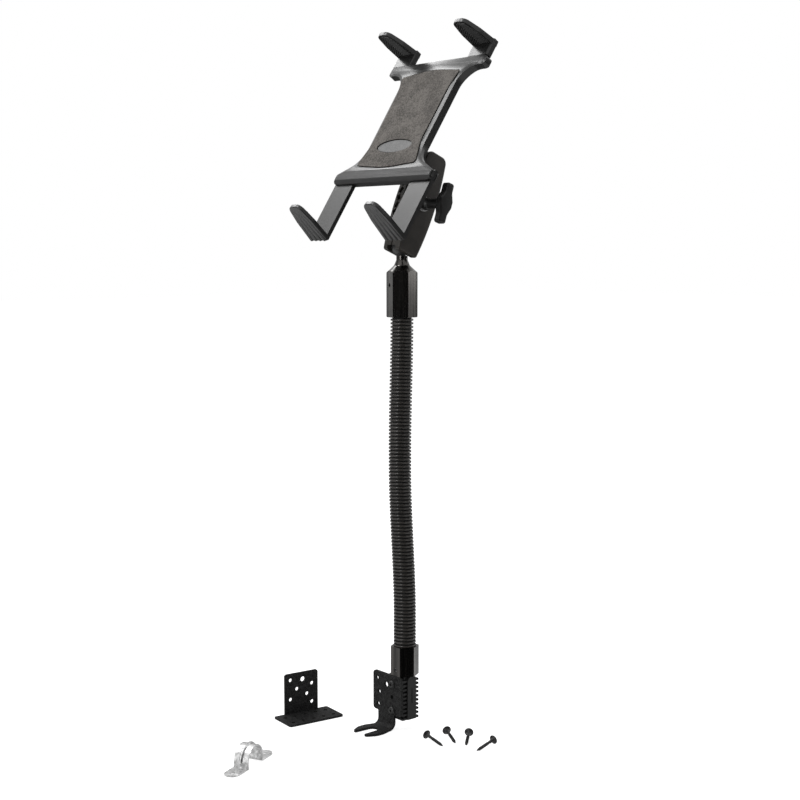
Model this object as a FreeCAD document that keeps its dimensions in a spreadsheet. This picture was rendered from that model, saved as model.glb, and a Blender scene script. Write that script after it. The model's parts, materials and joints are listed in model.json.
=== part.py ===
import FreeCAD, Part
import math
import os
import Sketcher

# Floor or seat-rail tablet mount. Millimetres, +Z up.
# The origin is the centre of the seat-bolt slot, on the underside of the forked foot.
# +X is the holder's right, -Y is the side that the tablet faces.

os.makedirs("parts", exist_ok=True)
doc = FreeCAD.newDocument("tablet_mount")
Vec = FreeCAD.Vector
X_AXIS, Y_AXIS, Z_AXIS = Vec(1, 0, 0), Vec(0, 1, 0), Vec(0, 0, 1)

# Driving dimensions

SIZES = [
    ("sheet_thick", 3.0),
    ("bend_inside", 6.5),
    ("plate_across", 2.5),
    ("plate_wide", 52.0),
    ("plate_low", 18.5),
    ("plate_top", 65.5),
    ("plate_corner", 4.0),
    ("foot_neck_wide", 29.0),
    ("slot_radius", 7.25),
    ("prong_outside", 17.8),
    ("prong_reach", 18.5),
    ("post_across", 16.5),
    ("post_back", 36.0),
    ("post_half", 12.3),
    ("post_shift", 1.6),
    ("post_foot", 13.8),
    ("post_tall", 52.2),
    ("tooth_pitch", 5.0),
    ("tooth_tall", 2.6),
    ("tooth_deep", 3.4),
    ("tongue_half", 6.5),
    ("tongue_proud", 3.2),
    ("spigot_radius", 8.0),
    ("spigot_tall", 18.0),
    ("lower_hex_radius", 16.74),
    ("lower_hex_tall", 34.5),
    ("upper_hex_radius", 17.9),
    ("upper_hex_tall", 51.0),
    ("upper_hex_turn", -16.0),
    ("hex_chamfer", 0.8),
    ("cone_tall", 14.5),
    ("set_screw_radius", 2.4),
    ("lower_set_screw_long", 5.5),
    ("lower_set_screw_up", 7.1),
    ("upper_set_screw_long", 10.2),
    ("upper_set_screw_up", 36.5),
    ("stem_root", 37.5),
    ("neck_long", 385.0),
    ("neck_sway", 7.4),
    ("neck_end_shift", 4.4),
    ("rib_crest_radius", 13.1),
    ("rib_root_radius", 11.15),
    ("rib_crest_long", 1.8),
    ("rib_flank_long", 0.3),
    ("rib_groove_long", 1.7),
    ("joint_gap", 3.0),
    ("core_radius", 8.0),
    ("core_lip", 2.4),
    ("stem_radius", 6.5),
    ("ball_radius", 12.5),
    ("ball_height", 81.0),
    ("ball_spigot_radius", 4.0),
    ("arm_lean", 22.5),
    ("arm_long", 103.0),
    ("arm_end_beyond", 9.5),
    ("arm_end_half", 14.0),
    ("arm_top_corner", 8.0),
    ("arm_low_corner", 3.0),
    ("arm_middle_half", 19.5),
    ("arm_thick", 14.5),
    ("arm_split", 2.0),
    ("bolt_radius", 4.0),
    ("bolt_head_radius", 7.5),
    ("bolt_head_thick", 5.5),
    ("washer_radius", 8.5),
    ("washer_thick", 1.6),
    ("spring_pocket_deep", 4.0),
    ("spring_radius", 6.6),
    ("hub_radius", 7.2),
    ("hub_long", 28.5),
    ("wing_long", 46.5),
    ("wing_thick", 10.0),
    ("wing_end_wide", 10.5),
    ("wing_middle_wide", 18.0),
    ("wing_turn", 4.5),
    ("insert_radius", 5.2),
    ("insert_long", 12.0),
    ("holder_lean", 33.0),
    ("ball_back", 47.0),
    ("ball_up", 57.0),
    ("bar_half", 84.5),
    ("bar_low", -2.7),
    ("bar_top", 12.0),
    ("seam", 0.2),
    ("shoulder_foot", 9.5),
    ("shoulder_rise", 27.5),
    ("shoulder_radius", 30.0),
    ("waist_half", 48.3),
    ("waist_widening", 1.0),
    ("ear_half", "=bar_half - 2.0"),
    ("ear_low", 150.0),
    ("ear_radius", 24.0),
    ("holder_top", 162.0),
    ("corner", 4.0),
    ("front_plane", 4.4),
    ("bevel_deep", 1.6),
    ("bevel_wide", 3.9),
    ("skin", 2.4),
    ("wall", 2.5),
    ("cavity_back", 6.0),
    ("back_thick", 2.2),
    ("back_bevel", 3.0),
    ("pad_thick", 1.8),
    ("pad_sunk", 0.5),
    ("pad_low_half", 43.4),
    ("pad_high_half", 44.6),
    ("pad_foot_half", 53.0),
    ("pad_head_half", 50.5),
    ("pad_foot", 18.5),
    ("pad_head", 144.0),
    ("pad_bow", 5.0),
    ("badge_half_long", 29.2),
    ("badge_half_tall", 8.3),
    ("badge_up", 43.6),
    ("badge_thick", 0.5),
    ("boss_radius", 3.0),
    ("cover_screw_radius", 1.4),
    ("cover_screw_long", 8.0),
    ("leg_inner", "=bar_half - 33.5"),
    ("leg_wide", 33.0),
    ("leg_front", -1.7),
    ("leg_thick", 4.9),
    ("leg_reach", 75.0),
    ("leg_travel", 45.0),
    ("rack_pitch", 5.0),
    ("rack_deep", 1.5),
    ("guide_rib_wide", 3.0),
    ("guide_rib_deep", 1.2),
    ("button_travel", 2.5),
    ("button_low", 3.6),
    ("button_tall", 4.2),
    ("button_proud", 1.1),
    ("strap_inner", "=ear_half - 32.5"),
    ("strap_wide", 31.5),
    ("strap_thick", 7.8),
    ("strap_tongue_wide", 25.0),
    ("fold_up", 177.3),
    ("upper_finger_long", 47.5),
    ("upper_finger_lean", 3.6),
    ("upper_finger_thick", 7.0),
    ("lower_finger_long", 52.0),
    ("lower_finger_lean", 12.0),
    ("lower_finger_thick", 5.0),
    ("finger_tip_thick", 4.6),
    ("finger_pad_thick", 1.8),
    ("finger_pad_sunk", 1.0),
    ("finger_pad_inset", 2.2),
    ("ball_plate_radius", 15.0),
    ("ball_plate_thick", 4.0),
    ("ball_plate_bolt_circle", 11.0),
    ("ball_plate_screw_radius", 1.6),
    ("ball_plate_head_radius", 2.9),
    ("angle_long", 74.0),
    ("angle_deep", 40.0),
    ("angle_tall", 52.0),
    ("angle_upright_wide", 46.0),
    ("angle_sheet", 2.5),
    ("strap_hole_distance", 70.0),
    ("strap_arch_radius", 17.0),
    ("strap_band_wide", 18.0),
    ("strap_sheet", 1.6),
    ("wood_screw_long", 33.0),
    ("wood_screw_radius", 1.8),
    ("wood_screw_head_radius", 5.2),
    ("clearance", 0.3),
    ("running_fit", 0.08),
    ("thread_fit", 0.05),
]

sheet = doc.addObject("Spreadsheet::Sheet", "sizes")
for row, (alias, value) in enumerate(SIZES, start=1):
    sheet.set("A%d" % row, alias.replace("_", " "))
    sheet.set("B%d" % row, str(value))
    sheet.setAlias("B%d" % row, alias)
doc.recompute()


class Sizes:
    """The sheet's cells by alias, as plain numbers."""

    def __getattr__(self, alias):
        return float(sheet.get(alias))


size = Sizes()
RIBS_PER_SEGMENT = (10, 15, 15, 14, 15, 15, 10)

# Shape helpers


def box(x0, x1, y0, y1, z0, z1):
    """A box between two corners."""
    return Part.makeBox(x1 - x0, y1 - y0, z1 - z0, Vec(x0, y0, z0))


def rod(radius, start, end):
    """A cylinder from one point to another."""
    return Part.makeCylinder(radius, (end - start).Length, start, end - start)


def rounded_face(corners, lift):
    """A flat face through corners (a, b, radius), each rounded by an arc tangent to its sides."""
    points = [Vec(a, b, 0) for a, b, radius in corners]
    stretches = []
    for i, (a, b, radius) in enumerate(corners):
        here = points[i]
        back = (points[i - 1] - here).normalize()
        ahead = (points[(i + 1) % len(points)] - here).normalize()
        if radius == 0:
            stretches.append((here, None, here))
            continue
        half = back.getAngle(ahead) / 2
        run = radius / math.tan(half)
        middle = here + (back + ahead).normalize() * (radius / math.sin(half) - radius)
        stretches.append((here + back * run, middle, here + ahead * run))
    edges = []
    for i, (start, middle, end) in enumerate(stretches):
        if middle is not None:
            edges.append(Part.Arc(lift(start), lift(middle), lift(end)).toShape())
        following = stretches[(i + 1) % len(stretches)][0]
        if (following - end).Length > 1e-6:
            edges.append(Part.LineSegment(lift(end), lift(following)).toShape())
    return Part.Face(Part.Wire(edges))


def mirrored_corners(half):
    """A symmetric outline: the corners of the +X half, from the bottom up, then their mirror images."""
    return half + [(-a, b, radius) for a, b, radius in reversed(half)]


def turned(profile):
    """A solid of revolution about Z from corners (radius, height, rounding)."""
    face = rounded_face(profile, lambda p: Vec(p.x, 0, p.y))
    return face.revolve(Vec(0, 0, 0), Z_AXIS, 360)


def hexagon(radius, height, base=Vec(0, 0, 0)):
    """A hexagonal prism with corners along X, its height along Z."""
    corners = [Vec(radius * math.cos(math.pi * i / 3), radius * math.sin(math.pi * i / 3), 0) for i in range(7)]
    prism = Part.Face(Part.makePolygon(corners)).extrude(Vec(0, 0, height))
    prism.translate(base)
    return prism


def leaning(origin, lean, turn=0.0):
    """A frame at origin that leans back about X, after a turn about its own Z."""
    rotation = FreeCAD.Rotation(X_AXIS, -lean).multiply(FreeCAD.Rotation(Z_AXIS, turn))
    return FreeCAD.Placement(origin, rotation)


pieces = []


def keep(obj, label, place=None):
    """Name a finished piece and put it in its frame."""
    obj.Label = label
    if place is not None:
        obj.Placement = place.multiply(obj.Placement)
    pieces.append(obj)
    return obj


def feature(label, shape, place=None):
    """A piece whose shape is worked out here."""
    obj = doc.addObject("Part::Feature", label)
    obj.Shape = shape
    return keep(obj, label, place)


def bound(kind, name, cells, at=None):
    """A Part primitive whose sizes, and place if given, follow expressions on the sheet."""
    obj = doc.addObject("Part::" + kind, name)
    for prop, text in cells.items():
        obj.setExpression(prop, text)
    for axis, text in zip("xyz", at or ()):
        obj.setExpression("Placement.Base." + axis, text)
    return obj


def cut(name, base, tool):
    """Base less tool."""
    obj = doc.addObject("Part::Cut", name)
    obj.Base, obj.Tool = base, tool
    return obj


def fused(name, shapes):
    """Several shapes as one."""
    obj = doc.addObject("Part::MultiFuse", name)
    obj.Shapes = shapes
    return obj


def ring_body(name, outer, bore, length):
    """A PartDesign ring: two concentric circles padded along Z, each size an expression."""
    body = doc.addObject("PartDesign::Body", name)
    sketch = body.newObject("Sketcher::SketchObject", name + "_sketch")
    plane = [f for f in body.Origin.OriginFeatures if f.Role == "XY_Plane"][0]
    sketch.AttachmentSupport = [(plane, "")]
    sketch.MapMode = "FlatFace"
    for radius, text in ((2.0, outer), (1.0, bore)):
        circle = sketch.addGeometry(Part.Circle(Vec(0, 0, 0), Z_AXIS, radius), False)
        sketch.addConstraint(centre_on_origin(circle))
        constraint = sketch.addConstraint(radius_of(circle, radius))
        sketch.setExpression("Constraints[%d]" % constraint, text)
    pad = body.newObject("PartDesign::Pad", name + "_pad")
    pad.Profile = sketch
    pad.setExpression("Length", length)
    return body


def centre_on_origin(circle):
    """The constraint that holds a circle's centre on the sketch's origin."""
    return Sketcher.Constraint("Coincident", circle, 3, -1, 1)


def radius_of(circle, radius):
    """The constraint that sets a circle's radius."""
    return Sketcher.Constraint("Radius", circle, radius)


# Frames that follow from the sizes

COLLAR_FOOT = size.post_foot + size.post_tall
NECK_FOOT = COLLAR_FOOT + size.lower_hex_tall
NECK_TOP = NECK_FOOT + size.neck_long
PLATE_BACK = size.post_back - size.post_half
PLATE_FRONT = PLATE_BACK - size.sheet_thick


def neck_centre(height):
    """The neck's centre line: it sways forward to a little past half way, then part of the way back."""
    share = (height - NECK_FOOT) / size.neck_long
    rise = min(max((share - 0.1) / 0.45, 0.0), 1.0)
    ease = min(max((share - 0.6) / 0.4, 0.0), 1.0)
    forward = size.neck_sway * rise * rise * (3 - 2 * rise)
    back = (size.neck_sway - size.neck_end_shift) * ease * ease * (3 - 2 * ease)
    return Vec(size.post_across, size.post_back - forward + back, height)


def neck_circle(height, radius):
    """A circle square to the neck's centre line, its start always on the same side."""
    along = neck_centre(height + 0.5) - neck_centre(height - 0.5)
    circle = Part.makeCircle(radius)
    circle.Placement = FreeCAD.Placement(neck_centre(height), FreeCAD.Rotation(Z_AXIS, along))
    return Part.Wire(circle)


collar_top_place = FreeCAD.Placement(neck_centre(NECK_TOP), FreeCAD.Rotation(Z_AXIS, size.upper_hex_turn))
LOWER_BALL = neck_centre(NECK_TOP) + Vec(0, 0, size.ball_height)
arm_place = leaning(LOWER_BALL, size.arm_lean)
UPPER_BALL = arm_place.multVec(Vec(0, 0, size.arm_long))
ball_in_holder = Vec(0, size.ball_back, size.ball_up)
holder_rotation = FreeCAD.Rotation(X_AXIS, -size.holder_lean)
holder_place = FreeCAD.Placement(UPPER_BALL - holder_rotation.multVec(ball_in_holder), holder_rotation)

# Seat bracket: a plate with five spare holes and two screw holes, necked, bent forward into a fork

# Places on the plate: across from its middle, and height
PLATE_HOLES = [(-18.9, 57.0, 2.5), (-2.1, 52.4, 3.3), (-15.2, 40.8, 2.5), (8.9, 39.3, 2.5), (-17.1, 25.7, 2.5)]
SCREW_PLACES = [(9.4, 55.2), (9.4, 23.7)]
BRACKET_SCREW_RADIUS = 2.5


def make_seat_bracket():
    """Plate, quarter-round bend and fork, then the slot and the holes."""
    half, neck = size.plate_wide / 2, size.foot_neck_wide / 2
    bend_up = size.sheet_thick + size.bend_inside
    bend_centre = PLATE_FRONT - size.bend_inside
    across = size.plate_across
    outline = [
        (neck, bend_up, 0),
        (neck, size.plate_low, 1.5),
        (across + half, size.plate_low, size.plate_corner),
        (across + half, size.plate_top, size.plate_corner),
        (across - half, size.plate_top, size.plate_corner),
        (across - half, size.plate_low, size.plate_corner),
        (-neck, size.plate_low, 1.5),
        (-neck, bend_up, 0),
    ]
    plate = rounded_face(outline, lambda p: Vec(p.x, PLATE_FRONT, p.y))
    plate = plate.extrude(Vec(0, size.sheet_thick, 0))
    bend_axis = Vec(-neck, bend_centre, bend_up)
    bend = Part.makeCylinder(bend_up, size.foot_neck_wide, bend_axis, X_AXIS)
    bend = bend.cut(Part.makeCylinder(size.bend_inside, size.foot_neck_wide, bend_axis, X_AXIS))
    bend = bend.common(box(-neck, neck, bend_centre, PLATE_BACK, 0, bend_up))
    fork_half = [
        (size.slot_radius + 4.5, -size.prong_reach, 2.0),
        (size.prong_outside, -7.0, 12.0),
        (size.prong_outside, 3.0, 6.0),
        (neck, bend_centre, 0),
    ]
    fork = rounded_face(mirrored_corners(fork_half), lambda p: Vec(p.x, p.y, 0))
    fork = fork.extrude(Vec(0, 0, size.sheet_thick))
    slot = Part.makeCylinder(size.slot_radius, size.sheet_thick)
    mouth_half = [(size.slot_radius + 1.0, -size.prong_reach - 1, 0), (size.slot_radius, 0, 0)]
    mouth = rounded_face(mirrored_corners(mouth_half), lambda p: Vec(p.x, p.y, 0))
    fork = fork.cut(slot).cut(mouth.extrude(Vec(0, 0, size.sheet_thick)))
    bracket = plate.fuse([bend, fork]).removeSplitter()
    holes = PLATE_HOLES + [(x, z, BRACKET_SCREW_RADIUS + size.clearance) for x, z in SCREW_PLACES]
    for x, z, radius in holes:
        bracket = bracket.cut(rod(radius, Vec(across + x, PLATE_FRONT - 1, z), Vec(across + x, PLATE_BACK + 1, z)))
    return bracket


def make_bracket_screws():
    """Two button-head screws with hexagonal sockets, through the plate into the post."""
    head, rise, shank = 4.7, 3.0, 12.0
    screw = turned([(0, -shank, 0), (BRACKET_SCREW_RADIUS, -shank, 0.8), (BRACKET_SCREW_RADIUS, 0, 0),
                    (head, 0, 0), (head, rise, 2.4), (0, rise, 0)])
    screw = screw.cut(hexagon(1.9, 2.0, Vec(0, 0, rise - 1.8)))
    screw.rotate(Vec(0, 0, 0), X_AXIS, 90)
    screws = []
    for x, z in SCREW_PLACES:
        copy = screw.copy()
        copy.translate(Vec(size.plate_across + x, PLATE_FRONT, z))
        screws.append(copy)
    return Part.makeCompound(screws)


def make_post():
    """Block with level teeth on both sides of a smooth arched tongue, and a spigot for the collar."""
    centre_x, centre_y = size.post_across - size.post_shift, size.post_back
    left, right = centre_x - size.post_half, centre_x + size.post_half
    front, back = centre_y - size.post_half, centre_y + size.post_half
    foot, top = size.post_foot, COLLAR_FOOT
    step = right - 2.0
    post = box(left, centre_x + 1.5, front, back, foot, top)
    comb = [box(centre_x, step, front + size.tooth_deep, back - size.tooth_deep, foot, top)]
    count = int(size.post_tall / size.tooth_pitch)
    for i in range(count):
        low = foot + i * size.tooth_pitch
        tooth = box(centre_x, right, front, back, low, low + size.tooth_tall)
        ridge = [(0, 0, 0), (size.tooth_tall, 0, 0), (size.tooth_tall, -1.6, 0)]
        wedge = rounded_face(ridge, lambda p: Vec(0, back - p.y - 1.6, low + p.x)).extrude(Vec(right - centre_x + 1, 0, 0))
        wedge.translate(Vec(centre_x, 0, 0))
        comb.append(tooth.cut(wedge))
    post = post.fuse(comb)
    tongue_y, half = centre_y + 1.0, size.tongue_half
    arch = top - half - 0.5
    tongue = box(step - 1, right + size.tongue_proud - 2, tongue_y - half, tongue_y + half, foot, arch)
    crown = rod(half, Vec(step - 1, tongue_y, arch), Vec(right + size.tongue_proud - 2, tongue_y, arch))
    groove = box(right + size.tongue_proud - 3, right + size.tongue_proud, tongue_y - 0.5, tongue_y + 0.5,
                 foot + 20, foot + 37)
    post = post.fuse([tongue, crown]).cut(groove)
    for x, z in SCREW_PLACES:
        x = x + size.plate_across
        hole = rod(BRACKET_SCREW_RADIUS + size.thread_fit, Vec(x, front - 1, z), Vec(x, front + 12.5, z))
        post = post.cut(hole)
    axis = Vec(size.post_across, size.post_back, top)
    return post.fuse(rod(size.spigot_radius, axis, axis + Vec(0, 0, size.spigot_tall))).removeSplitter()


feature("seat_bracket", make_seat_bracket())
feature("bracket_screws", make_bracket_screws())
feature("post", make_post())

# Lower collar: hexagon bar, bored for the post's spigot from below and for the core from above


def make_lower_collar():
    """Bound primitives: a six-sided prism less two bores and the set-screw hole."""
    axis = ["sizes.post_across", "sizes.post_back"]
    foot = "sizes.post_foot + sizes.post_tall"
    bar = bound("Prism", "lower_collar_bar",
                {"Circumradius": "sizes.lower_hex_radius", "Height": "sizes.lower_hex_tall"}, axis + [foot])
    bar.Polygon = 6
    spigot_bore = bound("Cylinder", "spigot_bore",
                        {"Radius": "sizes.spigot_radius + sizes.thread_fit", "Height": "sizes.spigot_tall"},
                        axis + [foot])
    core_bore = bound("Cylinder", "core_bore",
                      {"Radius": "sizes.core_radius + sizes.thread_fit", "Height": "sizes.lower_hex_tall"},
                      axis + [foot + " + sizes.spigot_tall"])
    screw_hole = bound("Cylinder", "lower_set_screw_hole",
                       {"Radius": "sizes.set_screw_radius + sizes.thread_fit", "Height": "sizes.lower_hex_radius"},
                       axis + [foot + " + sizes.lower_set_screw_up"])
    screw_hole.Placement.Rotation = FreeCAD.Rotation(X_AXIS, 90)
    bores = fused("lower_collar_bores", [spigot_bore, core_bore, screw_hole])
    return cut("lower_collar_cut", bar, bores)


def make_set_screw(name, place, long):
    """A socket set screw, its face just under the collar's flat."""
    shank = bound("Cylinder", name + "_shank",
                  {"Radius": "sizes.set_screw_radius", "Height": long})
    socket = bound("Prism", name + "_socket", {"Circumradius": "sizes.set_screw_radius * 0.55"},
                   ("0", "0", long + " - 2.5"))
    socket.Polygon = 6
    return keep(cut(name + "_cut", shank, socket), name, place)


keep(make_lower_collar(), "lower_collar")
lower_screw_start = Vec(size.post_across, size.post_back - size.spigot_radius - size.clearance,
                        COLLAR_FOOT + size.lower_set_screw_up)
make_set_screw("lower_set_screw", FreeCAD.Placement(lower_screw_start, FreeCAD.Rotation(X_AXIS, 90)),
               "sizes.lower_set_screw_long")

# Gooseneck: a ribbed sleeve over a core, both parted where the neck is taken to bend.
# There a core's domed head sits in the hollow foot of the next.


def rib_stations(low, high, ribs):
    """Heights and radii of each rib's four circles: root, crest, crest, root."""
    pitch = (high - low + size.rib_groove_long) / ribs
    rise = pitch - size.rib_groove_long
    crest_in = (rise - size.rib_crest_long) / 2
    for i in range(ribs):
        start = low + i * pitch
        yield start, size.rib_root_radius
        yield start + crest_in, size.rib_crest_radius
        yield start + crest_in + size.rib_crest_long, size.rib_crest_radius
        yield start + rise, size.rib_root_radius


def make_sleeve(low, high, ribs):
    """Ribs are a ruled loft through their circles, on a steady X axis, less a bore that follows the neck."""
    circles = [neck_circle(height, radius) for height, radius in rib_stations(low, high, ribs)]
    skin = Part.makeLoft(circles, True, True)
    return skin.cut(make_follower(low - 1, high + 1, size.core_radius + size.clearance, ribs // 3))


def make_follower(low, high, radius, spans):
    """A round bar along the neck's centre line, in short straight spans."""
    heights = [low + (high - low) * i / spans for i in range(spans + 1)]
    return Part.makeLoft([neck_circle(height, radius) for height in heights], True, True)


def make_core(low, high, spans, first, last):
    """A bar along the neck's centre line; its head is a half ball, and its foot is hollowed for the one below."""
    core = make_follower(low, high, size.core_radius, spans)
    if not last:
        core = core.fuse(Part.makeSphere(size.core_radius, neck_centre(high)))
    if not first:
        core = core.cut(Part.makeSphere(size.core_radius + size.clearance, neck_centre(low)))
        lip = Part.makeCylinder(2 * size.core_radius, size.core_lip, neck_centre(low))
        core = core.cut(lip)
    return core


def joint_heights():
    """Where one neck segment ends and the next begins, from the rib counts."""
    pitch = size.neck_long / sum(RIBS_PER_SEGMENT)
    ribs_below = 0
    for ribs in RIBS_PER_SEGMENT[:-1]:
        ribs_below += ribs
        yield NECK_FOOT + ribs_below * pitch


ends = [NECK_FOOT - size.joint_gap / 2] + list(joint_heights()) + [NECK_TOP + size.joint_gap / 2]
core_foot = NECK_FOOT - size.lower_hex_tall + size.spigot_tall + size.clearance
core_head = NECK_TOP + size.lower_hex_tall / 2
for i, ribs in enumerate(RIBS_PER_SEGMENT):
    low, high = ends[i] + size.joint_gap / 2, ends[i + 1] - size.joint_gap / 2
    feature("neck_sleeve_%d" % i, make_sleeve(low, high, ribs))
    first, last = i == 0, i == len(RIBS_PER_SEGMENT) - 1
    core = make_core(core_foot if first else ends[i], core_head if last else ends[i + 1], ribs // 3, first, last)
    feature("neck_core_%d" % i, core)

# Upper collar and the lower ball on its stem


def make_upper_collar():
    """Hexagon bar turned to a cone and a concave throat, bored for the core and the stem."""
    wide, straight = size.upper_hex_radius, size.upper_hex_tall
    profile = [(0, 0, 0), (wide - size.hex_chamfer, 0, 0), (wide, size.hex_chamfer, 0), (wide, straight, 3.0),
               (size.stem_radius + 2.6, straight + 8.0, 4.0), (size.stem_radius, straight + size.cone_tall, 0),
               (0, straight + size.cone_tall, 0)]
    collar = turned(profile).common(hexagon(wide, straight + size.cone_tall))
    collar = collar.cut(Part.makeCylinder(size.core_radius + size.thread_fit, size.lower_hex_tall / 2 + 0.3))
    bottom = straight + size.cone_tall - size.stem_root - 0.5
    stem_bore = Part.makeCylinder(size.ball_spigot_radius + size.thread_fit, size.stem_root + 1)
    stem_bore.translate(Vec(0, 0, bottom))
    flat_way = FreeCAD.Rotation(Z_AXIS, -90).multVec(X_AXIS)
    hole_start = Vec(0, 0, size.upper_set_screw_up)
    hole = rod(size.set_screw_radius + size.thread_fit, hole_start, hole_start + flat_way * wide)
    return collar.cut(stem_bore).cut(hole)


def make_stem(shoulder, tip, root):
    """A stem with a spigot at each end: one in its holder, one in the ball."""
    spigot = size.ball_spigot_radius
    stem = rod(size.stem_radius, Vec(0, 0, 0), Vec(0, 0, shoulder))
    return stem.fuse(rod(spigot, Vec(0, 0, -root), Vec(0, 0, tip))).removeSplitter()


def make_ball(label, place):
    """Bound primitives: a ball with a flat where the stem meets it and a blind bore for the stem's spigot."""
    ball = bound("Sphere", label + "_sphere", {"Radius": "sizes.ball_radius"})
    flat = bound("Box", label + "_flat", {"Length": "3 * sizes.ball_radius", "Width": "3 * sizes.ball_radius",
                                          "Height": "sizes.ball_radius"},
                 ("-1.5 * sizes.ball_radius", "-1.5 * sizes.ball_radius",
                  "-sizes.ball_radius - sqrt(sizes.ball_radius ^ 2 - sizes.stem_radius ^ 2)"))
    bore = bound("Cylinder", label + "_bore",
                 {"Radius": "sizes.ball_spigot_radius + sizes.running_fit",
                  "Height": "sizes.ball_radius + sizes.ball_spigot_radius + 1"},
                 ("0", "0", "-sizes.ball_radius"))
    return keep(cut(label + "_cut", ball, fused(label + "_tools", [flat, bore])), label, place)


ball_flat = math.sqrt(size.ball_radius ** 2 - size.stem_radius ** 2)
throat = size.upper_hex_tall + size.cone_tall
stem_long = size.ball_height - throat - ball_flat - size.clearance
feature("upper_collar", make_upper_collar(), collar_top_place)
stem_place = FreeCAD.Placement(collar_top_place.multVec(Vec(0, 0, throat)), FreeCAD.Rotation())
feature("lower_ball_stem", make_stem(stem_long, size.ball_height - throat + 3.5, size.stem_root), stem_place)
upper_screw_start = collar_top_place.multVec(Vec(0, -size.ball_spigot_radius - size.clearance, size.upper_set_screw_up))
upper_screw_turn = FreeCAD.Rotation(Z_AXIS, size.upper_hex_turn).multiply(FreeCAD.Rotation(X_AXIS, 90))
make_set_screw("upper_set_screw", FreeCAD.Placement(upper_screw_start, upper_screw_turn),
               "sizes.upper_set_screw_long")
make_ball("lower_ball", FreeCAD.Placement(LOWER_BALL, FreeCAD.Rotation()))

# Clamp arm: two halves that grip both balls, a bolt through the middle, a T-shaped knob

SLOT_HALF = size.stem_radius + 0.6
LOWER_SWING = (-45.0, 45.0)
UPPER_SWING = (-10.0, 102.0)


def swing_slot(height, swing, upward):
    """The slot that lets a stem swing: a pie slice with a round-ended strip along each of its sides."""
    reach = 40.0
    directions = [math.radians(swing[0] + (swing[1] - swing[0]) * i / 4) for i in range(5)]
    rim = [Vec(0, -reach * math.sin(a), upward * reach * math.cos(a)) for a in directions]
    pie = Part.Face(Part.makePolygon([Vec(0, 0, 0)] + rim + [Vec(0, 0, 0)]))
    slot = pie.extrude(Vec(2 * SLOT_HALF, 0, 0))
    for a in (directions[0], directions[-1]):
        strip = box(0, 2 * SLOT_HALF, -SLOT_HALF, SLOT_HALF, 0, reach)
        strip.rotate(Vec(0, 0, 0), X_AXIS, math.degrees(a) if upward > 0 else 180 - math.degrees(a))
        slot = slot.fuse(strip)
    slot.translate(Vec(-SLOT_HALF, 0, height))
    return slot


def arm_outline():
    """The arm from the side: flat ends, front and back edges bowed out to the middle."""
    low, high = -size.arm_end_beyond, size.arm_long + size.arm_end_beyond
    middle, end, wide = size.arm_long / 2, size.arm_end_half, size.arm_middle_half
    back_bow = Part.Arc(Vec(0, end, low), Vec(0, wide, middle), Vec(0, end, high)).toShape()
    front_bow = Part.Arc(Vec(0, -end, high), Vec(0, -wide, middle), Vec(0, -end, low)).toShape()
    top = Part.LineSegment(Vec(0, end, high), Vec(0, -end, high)).toShape()
    foot = Part.LineSegment(Vec(0, -end, low), Vec(0, end, low)).toShape()
    return Part.Face(Part.Wire([back_bow, top, front_bow, foot]))


def make_arm_half(side):
    """One half: sockets, stem slots, bolt hole, spring pocket and the ribbed pockets along the front edge."""
    inner, outer, middle = size.arm_split / 2, size.arm_thick, size.arm_long / 2
    half = arm_outline().extrude(Vec(outer - inner, 0, 0))
    half.translate(Vec(inner, 0, 0))
    ends = [edge for edge in half.Edges if edge.BoundBox.XLength > 1]
    half = half.makeFillet(size.arm_top_corner, [edge for edge in ends if edge.BoundBox.ZMin > middle])
    ends = [edge for edge in half.Edges if edge.BoundBox.XLength > 1 and edge.BoundBox.ZMax < middle
            and edge.BoundBox.YLength < 0.01]
    half = half.makeFillet(size.arm_low_corner, ends)
    rim = [edge for edge in half.Edges if edge.BoundBox.XMin > outer - 1e-3]
    half = half.makeFillet(2.0, rim)
    for height in (0, size.arm_long):
        half = half.cut(Part.makeSphere(size.ball_radius + size.clearance, Vec(0, 0, height)))
    half = half.cut(swing_slot(0, LOWER_SWING, -1)).cut(swing_slot(size.arm_long, UPPER_SWING, 1))
    half = half.cut(rod(size.bolt_radius + size.clearance, Vec(0, 0, middle), Vec(outer + 1, 0, middle)))
    pocket = size.spring_radius + 0.5
    half = half.cut(rod(pocket, Vec(0, 0, middle), Vec(inner + size.spring_pocket_deep, 0, middle)))
    for i in range(7):
        rib = box(-2.6, 2.6, -size.arm_middle_half - 3, -size.arm_end_half - 0.5, -3.6, 3.6)
        rib.rotate(Vec(0, 0, 0), Y_AXIS, 28 if i % 2 else -28)
        rib.translate(Vec((inner + outer) / 2, 0, 25 + 9.0 * i))
        half = half.cut(rib)
    if side < 0:
        head = hexagon(size.bolt_head_radius + size.clearance, size.bolt_head_thick + 0.5)
        head.rotate(Vec(0, 0, 0), Y_AXIS, 90)
        head.translate(Vec(outer - size.bolt_head_thick - 0.5, 0, middle))
        half = half.cut(head).mirror(Vec(0, 0, 0), X_AXIS)
    return half


def across_arm(offset):
    """A frame on the clamp bolt's axis, its Z along +X, at this distance from the split."""
    turn = arm_place.Rotation.multiply(FreeCAD.Rotation(Y_AXIS, 90))
    return FreeCAD.Placement(arm_place.multVec(Vec(offset, 0, size.arm_long / 2)), turn)


def make_clamp_bolt():
    """Bound primitives: hexagon head in the left half, shank through to the knob."""
    head = bound("Prism", "clamp_bolt_head",
                 {"Circumradius": "sizes.bolt_head_radius", "Height": "sizes.bolt_head_thick"})
    head.Polygon = 6
    shank = bound("Cylinder", "clamp_bolt_shank",
                  {"Radius": "sizes.bolt_radius",
                   "Height": "2 * sizes.arm_thick + sizes.washer_thick + sizes.hub_long - 4"})
    return fused("clamp_bolt_fused", [head, shank])


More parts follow.
